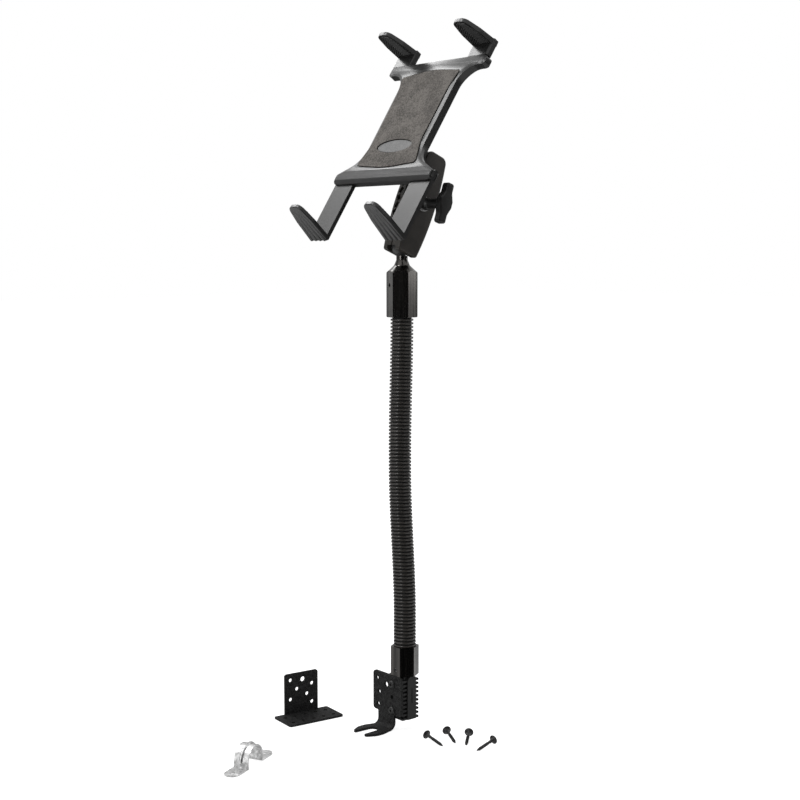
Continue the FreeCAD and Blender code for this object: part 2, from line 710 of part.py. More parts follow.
def make_knob():
    """Flanged hub and a T-shaped wing with softened edges, bored for the insert and the bolt's end."""
    flange, waist = size.hub_radius, size.hub_radius - 1.6
    hub = turned([(0, 0, 0), (flange - 0.6, 0, 0), (flange, 1.5, 0), (flange, 7.0, 1.5), (waist, 10.0, 3.0),
                  (waist, size.hub_long, 0), (0, size.hub_long, 0)])
    half, end, wide = size.wing_long / 2, size.wing_end_wide / 2, size.wing_middle_wide / 2
    wing_half = [(end, -half, 3.0), (end, -half * 0.55, 8.0), (wide, -3.5, 3.0), (wide, 3.5, 3.0),
                 (end, half * 0.55, 8.0), (end, half, 3.0)]
    wing = rounded_face(mirrored_corners(wing_half), lambda p: Vec(p.y, p.x, size.hub_long))
    wing = wing.extrude(Vec(0, 0, size.wing_thick))
    wing = wing.makeFillet(2.0, [edge for edge in wing.Edges if edge.BoundBox.ZLength < 0.1])
    wing.rotate(Vec(0, 0, 0), Z_AXIS, size.wing_turn)
    knob = hub.fuse(wing).removeSplitter()
    knob = knob.cut(Part.makeCylinder(size.bolt_radius + size.running_fit, size.hub_long - 1))
    return knob.cut(hexagon(size.insert_radius, size.insert_long, Vec(0, 0, size.hub_long - size.insert_long - 3)))


def make_knob_insert():
    """Bound primitives: a brass hexagon nut moulded into the hub."""
    nut = bound("Prism", "knob_insert_bar", {"Circumradius": "sizes.insert_radius", "Height": "sizes.insert_long"})
    nut.Polygon = 6
    bore = bound("Cylinder", "knob_insert_bore",
                 {"Radius": "sizes.bolt_radius + sizes.running_fit", "Height": "sizes.insert_long"})
    return cut("knob_insert_cut", nut, bore)


feature("arm_inner", make_arm_half(-1), arm_place)
feature("arm_outer", make_arm_half(1), arm_place)
keep(make_clamp_bolt(), "clamp_bolt", across_arm(size.bolt_head_thick - size.arm_thick - size.bolt_head_thick))
spring = ring_body("clamp_spring", "sizes.spring_radius", "sizes.spring_radius - 1.3",
                   "sizes.arm_split + 2 * sizes.spring_pocket_deep")
keep(spring, "clamp_spring", across_arm(-size.arm_split / 2 - size.spring_pocket_deep))
washer = ring_body("clamp_washer", "sizes.washer_radius", "sizes.bolt_radius + sizes.clearance",
                   "sizes.washer_thick")
keep(washer, "clamp_washer", across_arm(size.arm_thick))
feature("clamp_knob", make_knob(), across_arm(size.arm_thick + size.washer_thick))
insert_start = size.arm_thick + size.washer_thick + size.hub_long - size.insert_long - 3
keep(make_knob_insert(), "knob_insert", across_arm(insert_start))

# Tablet holder, built upright with its face towards -Y: x across, z up the face, y back from it


def silhouette(inset, top_inset=None):
    """The whole front outline, crossbar and body, drawn in by inset on every side, or less along the top."""
    rounding = max(size.corner - inset, 0.3)
    top = size.holder_top - (inset if top_inset is None else top_inset)
    slope = math.atan2(size.shoulder_rise - size.shoulder_foot, size.bar_half - size.waist_half)
    drop = inset * (1 - math.sin(slope)) / math.cos(slope)
    half = [
        (size.bar_half - inset, size.bar_low + inset, rounding),
        (size.bar_half - inset, size.shoulder_foot - drop, rounding),
        (size.waist_half - inset, size.shoulder_rise - drop, size.shoulder_radius + inset),
        (size.waist_half + size.waist_widening - inset, size.ear_low + inset, size.ear_radius + inset),
        (size.ear_half - inset, size.ear_low + inset, rounding),
        (size.ear_half - inset, top, rounding),
    ]
    return rounded_face(mirrored_corners(half), lambda p: Vec(p.x, 0, p.y))


def bevelled_block(back):
    """The outline's full depth from back to the front plane, its front edge bevelled except along the top."""
    rim = size.front_plane - size.bevel_deep
    low, high = silhouette(0), silhouette(size.bevel_wide, 0.3)
    low.translate(Vec(0, -rim, 0))
    high.translate(Vec(0, -size.front_plane, 0))
    bevel = Part.makeLoft([low.OuterWire, high.OuterWire], True, True)
    return slab(silhouette(0), back, rim).fuse(bevel)


def slab(face, back, front):
    """A face in the holder's plane, given depth: back and front are distances in front of that plane."""
    solid = face.extrude(Vec(0, back - front, 0))
    solid.translate(Vec(0, -back, 0))
    return solid


def front_box(x0, x1, back, front, low, high):
    """A box in the holder's frame, its depth given as distances in front of the plane."""
    return box(x0, x1, -front, -back, low, high)


BODY_FOOT = size.bar_top + size.seam
STRAP_MIDDLE = size.strap_inner + size.strap_wide / 2
PAST = size.bar_half + 15.0
LEG_MIDDLE = size.leg_inner + size.leg_wide / 2
STRAP_SCREW_UP = (size.ear_low + size.holder_top) / 2
COVER_SCREWS = [(-26.0, 19.0), (26.0, 19.0), (-40.0, 120.0), (40.0, 120.0), (-STRAP_MIDDLE, STRAP_SCREW_UP),
                (STRAP_MIDDLE, STRAP_SCREW_UP)]
LEG_BACK = size.leg_front - size.leg_thick
STRAP_BACK = size.front_plane - size.strap_thick
STRAP_TONGUE_FRONT = size.front_plane - size.skin - size.clearance
HOLDER_BACK = size.cavity_back + size.back_thick
BAR_TONGUE_FRONT = -1.2
BAR_TONGUE_HALF = 34.0


def both_sides(shape):
    """A shape and its mirror image across the holder's middle."""
    return [shape, shape.mirror(Vec(0, 0, 0), X_AXIS)]


def pad_face(inset):
    """The pad's outline: waisted, with bowed top and bottom edges."""
    half = [
        (0, size.pad_foot - size.pad_bow + inset, 150),
        (size.pad_foot_half - inset, size.pad_foot + inset, 4),
        (size.pad_low_half - inset, size.pad_foot + 29, 45),
        (size.pad_high_half - inset, size.pad_head - 22, 55),
        (size.pad_head_half - inset, size.pad_head - inset, 2.5),
        (0, size.pad_head + size.pad_bow + 1 - inset, 150),
    ]
    corners = half + [(-a, b, radius) for a, b, radius in reversed(half[1:-1])]
    return rounded_face(corners, lambda p: Vec(p.x, 0, p.y))


def badge_face(grow):
    """The badge's oval."""
    oval = Part.Ellipse(Vec(0, 0, 0), size.badge_half_long + grow, size.badge_half_tall + grow)
    face = Part.Face(Part.Wire(oval.toShape()))
    face.rotate(Vec(0, 0, 0), X_AXIS, 90)
    face.translate(Vec(0, 0, size.badge_up))
    return face


def below_body():
    """Everything under the body's foot."""
    return front_box(-PAST, PAST, -30, 30, size.bar_low - 20, BODY_FOOT)


def make_front_cover():
    """Bevelled front shell with a side wall, screw bosses, and gaps for the legs, straps and crossbar tongue."""
    shell = bevelled_block(-size.cavity_back).cut(below_body())
    cavity = slab(silhouette(size.wall), -size.cavity_back - 1, size.front_plane - size.skin)
    shell = shell.cut(cavity.cut(front_box(-PAST, PAST, -30, 30, size.bar_low - 20, BODY_FOOT + size.wall)))
    rim = size.front_plane - size.bevel_deep
    for x, z in COVER_SCREWS:
        shell = shell.fuse(rod(size.boss_radius, Vec(x, size.cavity_back, z), Vec(x, -rim, z)))
    shell = shell.cut(slab(pad_face(-0.2), size.front_plane - size.pad_sunk, size.front_plane + 1))
    gap = size.clearance
    leg_gap = front_box(size.leg_inner - 2, PAST, -30, size.leg_front + gap, 0, size.bar_top + size.leg_travel + 3)
    half = size.strap_tongue_wide / 2 + gap
    strap_gap = front_box(STRAP_MIDDLE - half, STRAP_MIDDLE + half, STRAP_BACK - gap, STRAP_TONGUE_FRONT + gap,
                          size.holder_top - size.wall - 1, size.holder_top + 1)
    for tool in both_sides(leg_gap) + both_sides(strap_gap):
        shell = shell.cut(tool)
    half = BAR_TONGUE_HALF + gap
    shell = shell.cut(front_box(-half, half, -30, BAR_TONGUE_FRONT + gap, 0, BODY_FOOT + size.wall + 1))
    hole = size.cover_screw_radius + size.thread_fit
    for x, z in COVER_SCREWS:
        shell = shell.cut(rod(hole, Vec(x, 20, z), Vec(x, HOLDER_BACK - size.cover_screw_long - 0.7, z)))
    return shell.removeSplitter()


def make_back_cover():
    """Back plate, bevelled all round, open behind the legs, with countersunk and plain screw holes."""
    low, high = silhouette(0), silhouette(size.back_bevel)
    low.translate(Vec(0, size.cavity_back, 0))
    high.translate(Vec(0, HOLDER_BACK, 0))
    back = Part.makeLoft([low.OuterWire, high.OuterWire], True, True).cut(below_body())
    leg_gap = front_box(size.leg_inner - 2, PAST, -30, 30, 0, size.bar_top + size.leg_travel + 3)
    for tool in both_sides(leg_gap):
        back = back.cut(tool)
    for x, z in COVER_SCREWS:
        back = back.cut(rod(size.cover_screw_radius + size.clearance, Vec(x, 0, z), Vec(x, 20, z)))
        back = back.cut(rod(2.9, Vec(x, HOLDER_BACK - 1.3, z), Vec(x, 20, z)))
    for x, z in ball_plate_holes():
        back = back.cut(rod(size.ball_plate_screw_radius + size.thread_fit, Vec(x, 0, z), Vec(x, 20, z)))
    return back


def ball_plate_holes():
    """Four places on the ball plate's bolt circle, at 45 degrees."""
    reach = size.ball_plate_bolt_circle * math.sqrt(0.5)
    return [(a * reach, size.ball_up + b * reach) for a in (-1, 1) for b in (-1, 1)]


def make_cover_screws():
    """Six self-tapping screws from the back into the bosses, their heads just below the back face."""
    head, long = 2.6, size.cover_screw_long
    screw = turned([(0, 0, 0), (size.cover_screw_radius, 0, 0.5), (size.cover_screw_radius, long - 1.1, 0),
                    (head, long - 1.1, 0), (head, long, 0.4), (0, long, 0)])
    screw = screw.cut(box(-1.8, 1.8, -0.35, 0.35, long - 0.6, long + 1))
    screw = screw.cut(box(-0.35, 0.35, -1.8, 1.8, long - 0.6, long + 1))
    screw.rotate(Vec(0, 0, 0), X_AXIS, -90)
    copies = []
    for x, z in COVER_SCREWS:
        copy = screw.copy()
        copy.translate(Vec(x, HOLDER_BACK - 0.2 - long, z))
        copies.append(copy)
    return Part.makeCompound(copies)


BUTTON_TOP = size.button_low + size.button_tall
BUTTON_BACK = size.leg_front + 0.6
BUTTON_FRONT = BUTTON_BACK + 2.2
RACK_BACK, RACK_FRONT = LEG_BACK + 1.5, size.leg_front - 1.5
PAWL_INNER = size.leg_inner - 7.0
SPRING_SEAT = PAWL_INNER - 10.5


def make_crossbar():
    """Crossbar with an open-ended sleeve and guide rib for each leg, button channels, and a tongue."""
    bar = bevelled_block(-HOLDER_BACK).cut(front_box(-PAST, PAST, -30, 30, size.bar_top, 999))
    front, low = size.front_plane, size.bar_low
    section = rounded_face([(front, size.bar_top, 0), (front - 1.5, 2.2, 4), (0.6, low, 1), (1.8 - HOLDER_BACK, low, 0),
                            (-HOLDER_BACK, low + 1.8, 0), (-HOLDER_BACK, size.bar_top, 0)],
                           lambda p: Vec(-PAST, -p.x, p.y))
    bar = bar.common(section.extrude(Vec(2 * PAST, 0, 0)))
    plan = rounded_face([(size.bar_half, -front, 3.5), (size.bar_half, HOLDER_BACK, 1.0),
                         (-size.bar_half, HOLDER_BACK, 1.0), (-size.bar_half, -front, 3.5)],
                        lambda p: Vec(p.x, p.y, low - 1))
    bar = bar.common(plan.extrude(Vec(0, 0, 30)))
    tongue = front_box(-BAR_TONGUE_HALF, BAR_TONGUE_HALF, 0.1 - size.cavity_back, BAR_TONGUE_FRONT,
                       size.bar_top - 1, BODY_FOOT + 12)
    bar = bar.fuse(tongue)
    for x, z in COVER_SCREWS[:2]:
        bar = bar.cut(rod(size.boss_radius + size.clearance, Vec(x, -20, z), Vec(x, 20, z)))
    gap = size.clearance
    leg_way = front_box(size.leg_inner - gap, PAST, LEG_BACK - gap, size.leg_front + gap, low - 1, size.bar_top + 1)
    rib = size.guide_rib_wide / 2
    guide = front_box(LEG_MIDDLE - rib, LEG_MIDDLE + rib, LEG_BACK - gap - 0.5, LEG_BACK - gap + size.guide_rib_deep,
                      low, size.bar_top)
    lug_way = front_box(size.leg_inner - 2, size.leg_inner, LEG_BACK - gap, -4, BUTTON_TOP + gap, size.bar_top + 1)
    bar_way = front_box(SPRING_SEAT, PAST, BUTTON_BACK - gap, BUTTON_FRONT + gap, size.button_low - gap,
                        BUTTON_TOP + gap)
    tab_way = front_box(size.bar_half - 4.8, PAST, BUTTON_BACK - gap, BUTTON_FRONT + gap, size.button_low - 2.9,
                        BUTTON_TOP + 1.9)
    pawl_way = front_box(SPRING_SEAT, size.leg_inner, LEG_BACK - gap, BUTTON_FRONT + gap,
                         size.button_low - gap, BUTTON_TOP + gap)
    for tool in (leg_way.cut(guide), lug_way, bar_way, tab_way, pawl_way):
        for copy in both_sides(tool):
            bar = bar.cut(copy)
    return bar.removeSplitter()


def make_button():
    """Right-hand release button: ridged tab outside, flat bar over the leg, pawl at the leg's inner edge."""
    tab_out = size.bar_half + size.button_proud
    low, high = size.button_low, BUTTON_TOP
    tab = front_box(size.bar_half - 1.9, tab_out, BUTTON_BACK, BUTTON_FRONT, low - 2.6, high + 1.6)
    for i in range(4):
        ridge = low - 2.2 + 2.1 * i
        tab = tab.fuse(front_box(tab_out - 0.5, tab_out + 0.4, BUTTON_BACK, BUTTON_FRONT, ridge, ridge + 1.1))
    bar = front_box(PAWL_INNER, size.bar_half - 1, BUTTON_BACK, BUTTON_FRONT, low, high)
    pawl = front_box(PAWL_INNER, size.leg_inner - 0.8, LEG_BACK, BUTTON_FRONT, low, high)
    middle = (low + high) / 2
    tooth = front_box(size.leg_inner - 1.5, size.leg_inner - size.clearance, RACK_BACK + size.clearance,
                      RACK_FRONT - size.clearance, middle - 0.75, middle + 0.75)
    return tab.fuse([bar, pawl, tooth]).removeSplitter()


# Claw fingers, shared by the legs and the upper straps


def finger_face(wide, long, inset, foot=0):
    """The finger seen flat: x across, y along from foot, slightly tapered, with a round tip."""
    half = [(wide / 2 - inset, foot, 0.3 if inset else 0), (wide / 2 - 1.4 - inset, long * 0.55, 30),
            (wide * 0.3 - inset * 0.5, long - inset, 8.5 - inset)]
    return rounded_face(mirrored_corners(half), lambda p: Vec(p.x, p.y, 0))


def make_finger(wide, long, thick, foot, ribbed):
    """A finger with its inner face at z = 0, thinner to the tip, with a shallow seat for its pad."""
    side = [(0, 0, 0), (long + 1, 0, 0), (long + 1, min(size.finger_tip_thick, thick), 0), (0, thick, 0)]
    wedge = rounded_face(side, lambda p: Vec(-wide, p.x, p.y)).extrude(Vec(2 * wide, 0, 0))
    finger = finger_face(wide, long, 0).extrude(Vec(0, 0, thick)).common(wedge)
    rim = [e for e in finger.Edges if e.BoundBox.ZMin > 2 and e.BoundBox.YMax > 1]
    finger = finger.makeFillet(1.2, rim)
    if ribbed:
        for i in range(4):
            share = (i - 1.5) / 4
            start = Vec(share * wide, -1, thick - 2.7)
            end = Vec(share * wide * 0.62, long * 0.84, thick - 2.6)
            cone = Part.makeCone(wide / 8 - 0.15, wide / 8 - 1.7, (end - start).Length, start, end - start)
            finger = finger.fuse(cone.common(box(-wide, wide, 0.2, 2 * long, 1.5, 19)))
    seat = finger_face(wide, long, size.finger_pad_inset - 0.1, foot + size.finger_pad_inset - 0.1)
    return finger.cut(seat.extrude(Vec(0, 0, size.finger_pad_sunk))).removeSplitter()


def make_finger_pad(wide, long, foot):
    """The soft insert, standing proud of its seat."""
    pad = finger_face(wide, long, size.finger_pad_inset, foot + size.finger_pad_inset).extrude(Vec(0, 0, size.finger_pad_thick))
    pad.translate(Vec(0, 0, size.finger_pad_sunk - size.finger_pad_thick))
    return pad


def set_finger(shape, side, lower):
    """Put a finger made flat into the holder's frame, on the right (1) or left (-1), lower or upper."""
    if lower:
        across, front = LEG_MIDDLE, LEG_BACK
        up = -size.leg_reach + size.lower_finger_thick - 1.1
        turn = FreeCAD.Rotation(X_AXIS, 180 - size.lower_finger_lean)
    else:
        across, front, up = STRAP_MIDDLE, STRAP_BACK, size.fold_up
        turn = FreeCAD.Rotation(Z_AXIS, 180).multiply(FreeCAD.Rotation(X_AXIS, -size.upper_finger_lean))
    placed = shape.copy()
    placed.Placement = FreeCAD.Placement(Vec(side * across, -front, up), turn).multiply(shape.Placement)
    return placed


def make_leg(side):
    """A lower leg: flat bar with rack pockets, guide groove and stop lug, ending in a ribbed claw finger."""
    inner, outer = size.leg_inner, size.leg_inner + size.leg_wide
    top = size.bar_top - 0.5
    bar = front_box(inner, outer, LEG_BACK, size.leg_front, -size.leg_reach + 0.3, top)
    lug = front_box(inner - 1.6, inner + 1, LEG_BACK, -4.3, BUTTON_TOP + 2 * size.clearance, top)
    bar = bar.fuse(lug)
    rib = size.guide_rib_wide / 2 + size.clearance
    groove = front_box(LEG_MIDDLE - rib, LEG_MIDDLE + rib, LEG_BACK - 1, LEG_BACK + size.guide_rib_deep,
                       -size.leg_travel - 8, top + 1)
    bar = bar.cut(groove)
    for i in range(int(size.leg_travel / size.rack_pitch) + 1):
        middle = (size.button_low + BUTTON_TOP) / 2 - i * size.rack_pitch
        bar = bar.cut(front_box(inner - 1, inner + size.rack_deep, RACK_BACK, RACK_FRONT, middle - 1.2, middle + 1.2))
    if side < 0:
        bar = bar.mirror(Vec(0, 0, 0), X_AXIS)
    finger = make_finger(size.leg_wide, size.lower_finger_long, size.lower_finger_thick, size.leg_thick, True)
    return bar.fuse(set_finger(finger, side, True)).removeSplitter()


def make_upper_claw(side):
    """An upper strap, flush with the body's front, its tongue in the body and its finger folded forward."""
    inner, outer, front = size.strap_inner, size.strap_inner + size.strap_wide, size.front_plane
    section = [(inner, STRAP_BACK, 1.0), (outer, STRAP_BACK, 1.0), (outer, front - size.bevel_deep, 0),
               (outer - size.bevel_wide * 0.6, front, 0), (inner + 0.8, front, 0), (inner, front - 0.8, 0)]
    foot = size.holder_top + size.seam
    strap = rounded_face(section, lambda p: Vec(p.x, -p.y, foot))
    strap = strap.extrude(Vec(0, 0, size.fold_up + size.upper_finger_thick - foot - 0.3))
    half = size.strap_tongue_wide / 2
    tongue = front_box(STRAP_MIDDLE - half, STRAP_MIDDLE + half, STRAP_BACK, STRAP_TONGUE_FRONT,
                       size.ear_low + size.wall + size.clearance, foot + 1)
    hole = rod(size.boss_radius + size.clearance, Vec(STRAP_MIDDLE, -20, STRAP_SCREW_UP),
               Vec(STRAP_MIDDLE, 20, STRAP_SCREW_UP))
    strap = strap.fuse(tongue.cut(hole))
    if side < 0:
        strap = strap.mirror(Vec(0, 0, 0), X_AXIS)
    long = size.upper_finger_long - STRAP_BACK
    finger = make_finger(size.strap_wide, long, size.upper_finger_thick, size.strap_thick, False)
    claw = strap.fuse(set_finger(finger, side, False)).removeSplitter()
    return claw


def make_ball_plate():
    """Round plate, stem and spigot in one, its axis along the holder's depth."""
    plate = turned([(0, 0, 0), (size.ball_plate_radius, 0, 0), (size.ball_plate_radius, size.ball_plate_thick, 1.2),
                    (size.stem_radius + 1.1, size.ball_plate_thick, 0.6),
                    (size.stem_radius, size.ball_plate_thick + 4.0, 0),
                    (size.stem_radius, ball_plate_to_ball() - ball_flat - size.clearance, 0),
                    (size.ball_spigot_radius, ball_plate_to_ball() - ball_flat - size.clearance, 0),
                    (size.ball_spigot_radius, ball_plate_to_ball() + 3.5, 0), (0, ball_plate_to_ball() + 3.5, 0)])
    for x, z in ball_plate_holes():
        hole = size.ball_plate_screw_radius + size.clearance
        plate = plate.cut(rod(hole, Vec(x, size.ball_up - z, -1), Vec(x, size.ball_up - z, 20)))
    return plate


def ball_plate_to_ball():
    """From the holder's back face to the upper ball's centre."""
    return size.ball_back - HOLDER_BACK


def make_ball_plate_screws():
    """Four pan-head screws through the ball plate into the back cover."""
    shank, head = size.ball_plate_screw_radius, size.ball_plate_head_radius
    screw = turned([(0, -6.5, 0), (shank, -6.5, 0.6), (shank, 0, 0), (head, 0, 0), (head, 2.2, 1.3), (0, 2.2, 0)])
    screw = screw.cut(box(-1.9, 1.9, -0.4, 0.4, 1.4, 3)).cut(box(-0.4, 0.4, -1.9, 1.9, 1.4, 3))
    copies = []
    for x, z in ball_plate_holes():
        copy = screw.copy()
        copy.translate(Vec(x, size.ball_up - z, size.ball_plate_thick))
        copies.append(copy)
    return Part.makeCompound(copies)


backward = FreeCAD.Rotation(X_AXIS, -90)
plate_seat = Vec(0, HOLDER_BACK, size.ball_up)
plate_place = holder_place.multiply(FreeCAD.Placement(plate_seat, backward))
feature("ball_plate", make_ball_plate(), plate_place)
feature("ball_plate_screws", make_ball_plate_screws(), plate_place)
make_ball("upper_ball", FreeCAD.Placement(UPPER_BALL, holder_rotation.multiply(backward)))
feature("back_cover", make_back_cover(), holder_place)
feature("cover_screws", make_cover_screws(), holder_place)
feature("front_cover", make_front_cover(), holder_place)
pad = slab(pad_face(0), size.front_plane - size.pad_sunk, size.front_plane - size.pad_sunk + size.pad_thick)
hole = slab(badge_face(0.5), 0, 20)
feature("front_pad", pad.cut(hole), holder_place)
badge_back = size.front_plane - size.pad_sunk
feature("badge_plate", slab(badge_face(0), badge_back, badge_back + size.badge_thick), holder_place)
feature("crossbar", make_crossbar(), holder_place)

for name, side in (("left", -1), ("right", 1)):
    feature("upper_claw_" + name, make_upper_claw(side), holder_place)
    upper_pad = make_finger_pad(size.strap_wide, size.upper_finger_long - STRAP_BACK, size.strap_thick)
    feature("upper_pad_" + name, set_finger(upper_pad, side, False), holder_place)
    feature("lower_leg_" + name, make_leg(side), holder_place)
    lower_pad = make_finger_pad(size.leg_wide, size.lower_finger_long, size.leg_thick)
    feature("lower_pad_" + name, set_finger(lower_pad, side, True), holder_place)
    button = make_button()
    if side < 0:
        button = button.mirror(Vec(0, 0, 0), X_AXIS)
    feature("release_button_" + name, button, holder_place)
    spring = ring_body("button_spring_" + name, "1.9", "1.2", "%r" % (PAWL_INNER - SPRING_SEAT))
    spring_start = holder_place.multVec(Vec(side * SPRING_SEAT, 2.6, (size.button_low + BUTTON_TOP) / 2))
    spring_turn = holder_rotation.multiply(FreeCAD.Rotation(Y_AXIS, side * 90))
    keep(spring, "button_spring_" + name, FreeCAD.Placement(spring_start, spring_turn))

# Loose hardware, laid on the floor beside the foot


def make_floor_bracket():
    """Drilled angle plate: a wide base and a narrower upright at its long edge."""
    sheet_t, half, upright = size.angle_sheet, size.angle_long / 2, size.angle_upright_wide / 2
    base = [(0, -half, 2), (size.angle_deep, -half, 3), (size.angle_deep, half, 3), (0, half, 2)]
    plate = rounded_face(base, lambda p: Vec(p.x, p.y, 0)).extrude(Vec(0, 0, sheet_t))
    wall = [(-upright, 0, 0), (upright, 0, 0), (upright, size.angle_tall, 3), (-upright, size.angle_tall, 3)]
    bracket = plate.fuse(rounded_face(wall, lambda p: Vec(0, p.x, p.y)).extrude(Vec(sheet_t, 0, 0)))
    for x in (12.0, size.angle_deep - 9):
        for y in (-28.0, -14.0, 0.0, 14.0, 28.0):
            bracket = bracket.cut(rod(2.4, Vec(x, y, -1), Vec(x, y, sheet_t + 1)))
    for y, z, radius in ((-15, 44, 2.4), (2, 43, 3.2), (15, 36, 2.4), (-6, 32, 2.4), (8, 24, 2.4), (-15, 20, 2.4),
                         (15, 13, 2.4)):
        bracket = bracket.cut(rod(radius, Vec(-1, y, z), Vec(sheet_t + 1, y, z)))
    return bracket.removeSplitter()


def make_pipe_strap():
    """Two-hole strap: round-ended feet and a half-round arch with a pressed rib."""
    thick, radius, half = size.strap_sheet, size.strap_arch_radius, size.strap_band_wide / 2
    reach = size.strap_hole_distance / 2
    rise = 6.0
    arch = Part.makeCylinder(radius, 2 * half, Vec(0, -half, rise), Y_AXIS)
    arch = arch.cut(Part.makeCylinder(radius - thick, 2 * half, Vec(0, -half, rise), Y_AXIS))
    arch = arch.common(box(-radius, radius, -half, half, rise, rise + radius))
    strap = [arch]
    ring = Part.makeTorus(radius - 0.2, 2.2, Vec(0, 0, rise), Y_AXIS).common(
        box(-radius - 3, radius + 3, -half, half, rise, rise + radius + 3))
    ring = ring.cut(Part.makeCylinder(radius - thick, 2 * half, Vec(0, -half, rise), Y_AXIS))
    strap.append(ring)
    for side in (-1, 1):
        inner, outer = sorted((side * (radius - thick), side * radius))
        strap.append(box(inner, outer, -half, half, 0, rise))
        foot_in, foot_out = sorted((side * (radius - thick), side * reach))
        strap.append(box(foot_in, foot_out, -half, half, 0, thick))
        strap.append(rod(half, Vec(side * reach, 0, 0), Vec(side * reach, 0, thick)))
    body = strap[0].fuse(strap[1:])
    for side in (-1, 1):
        body = body.cut(rod(3.0, Vec(side * reach, 0, -1), Vec(side * reach, 0, thick + 1)))
    return body.removeSplitter()


def make_wood_screw():
    """Bugle-head screw with a pointed tip, standing on its axis with the tip at the origin."""
    long, shank, head = size.wood_screw_long, size.wood_screw_radius, size.wood_screw_head_radius
    screw = turned([(0, 0, 0), (shank, 7, 0), (shank, long - 4.5, 3), (head, long - 0.9, 0), (head, long, 0.4),
                    (0, long, 0)])
    return screw.cut(box(-2.6, 2.6, -0.6, 0.6, long - 1.6, long + 1)).cut(
        box(-0.6, 0.6, -2.6, 2.6, long - 1.6, long + 1))


WOOD_SCREW_PLACES = [(78.3, 28.8, -4.0), (81.1, 51.3, -23.0), (98.4, 61.2, -49.0), (127.8, 61.4, -81.0)]


def lay_wood_screws():
    """Each screw lies with its head's rim and its tip on the floor; the last value is its heading."""
    long, head = size.wood_screw_long, size.wood_screw_head_radius
    tilt = math.degrees(math.asin(head / long))
    copies = []
    for x, y, heading in WOOD_SCREW_PLACES:
        copy = make_wood_screw()
        copy.translate(Vec(0, 0, -long / 2))
        copy.rotate(Vec(0, 0, 0), Y_AXIS, -90 + tilt)
        copy.translate(Vec(0, 0, math.sin(math.radians(tilt)) * long / 2))
        copy.rotate(Vec(0, 0, 0), Z_AXIS, heading)
        copy.translate(Vec(x, y, -copy.BoundBox.ZMin))
        copies.append(copy)
    return Part.makeCompound(copies)


angle_turn = FreeCAD.Rotation(Z_AXIS, -6.0)
angle_corner = Vec(-87.8, -27.4, 0) - angle_turn.multVec(Vec(size.angle_deep / 2, 0, 0))
feature("floor_bracket", make_floor_bracket(), FreeCAD.Placement(angle_corner, angle_turn))
strap_place = FreeCAD.Placement(Vec(-2.5, -172.5, 0), FreeCAD.Rotation(Z_AXIS, 116.0))
feature("pipe_strap", make_pipe_strap(), strap_place)
feature("wood_screws", lay_wood_screws())

# Check every object, then write one file for each piece

doc.recompute()
for obj in doc.Objects:
    if {"Invalid", "Error"} & set(obj.State):
        raise RuntimeError("%s failed: %s" % (obj.Name, obj.State))
for obj in pieces:
    shape = obj.Shape
    if shape.isNull() or not shape.isValid() or not shape.Solids:
        raise RuntimeError("%s has no sound solid" % obj.Label)
    print("%-24s solids %d  volume %10.1f" % (obj.Label, len(shape.Solids), shape.Volume))
for obj in pieces:
    obj.Shape.exportStep("parts/%s.step" % obj.Label)
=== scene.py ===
"""Looks for a seat-rail tablet mount: forked foot, ribbed gooseneck, two-ball clamp arm and claw holder.

Lengths on the object are millimetres until skin() writes them as metres. u is across the holder, v up its
face, w out of its face. The camera, lamps, cards and floor are placed in metres.
"""

import json
import math

import bmesh
import bpy
import numpy as np
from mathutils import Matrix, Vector


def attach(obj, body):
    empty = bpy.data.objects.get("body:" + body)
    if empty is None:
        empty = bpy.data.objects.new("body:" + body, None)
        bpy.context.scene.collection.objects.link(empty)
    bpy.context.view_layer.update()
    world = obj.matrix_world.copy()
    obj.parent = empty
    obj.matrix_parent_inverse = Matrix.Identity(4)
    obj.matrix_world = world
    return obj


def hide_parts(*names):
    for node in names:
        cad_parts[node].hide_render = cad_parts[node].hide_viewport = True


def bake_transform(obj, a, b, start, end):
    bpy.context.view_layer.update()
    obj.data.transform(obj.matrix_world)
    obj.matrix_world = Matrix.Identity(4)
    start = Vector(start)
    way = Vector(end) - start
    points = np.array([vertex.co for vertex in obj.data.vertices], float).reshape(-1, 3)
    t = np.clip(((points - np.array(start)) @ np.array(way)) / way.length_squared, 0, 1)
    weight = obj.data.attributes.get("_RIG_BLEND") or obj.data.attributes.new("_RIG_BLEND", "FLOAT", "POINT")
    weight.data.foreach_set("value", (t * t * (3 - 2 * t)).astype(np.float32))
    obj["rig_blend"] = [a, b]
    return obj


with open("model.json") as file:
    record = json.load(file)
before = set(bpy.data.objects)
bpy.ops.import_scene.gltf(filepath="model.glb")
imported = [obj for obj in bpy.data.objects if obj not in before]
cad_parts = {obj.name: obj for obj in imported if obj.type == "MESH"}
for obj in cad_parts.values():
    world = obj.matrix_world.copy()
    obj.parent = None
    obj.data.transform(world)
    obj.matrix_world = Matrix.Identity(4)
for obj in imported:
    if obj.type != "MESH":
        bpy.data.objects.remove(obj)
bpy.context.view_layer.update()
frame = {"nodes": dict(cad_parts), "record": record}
MM = 0.001

# Places that the solids share

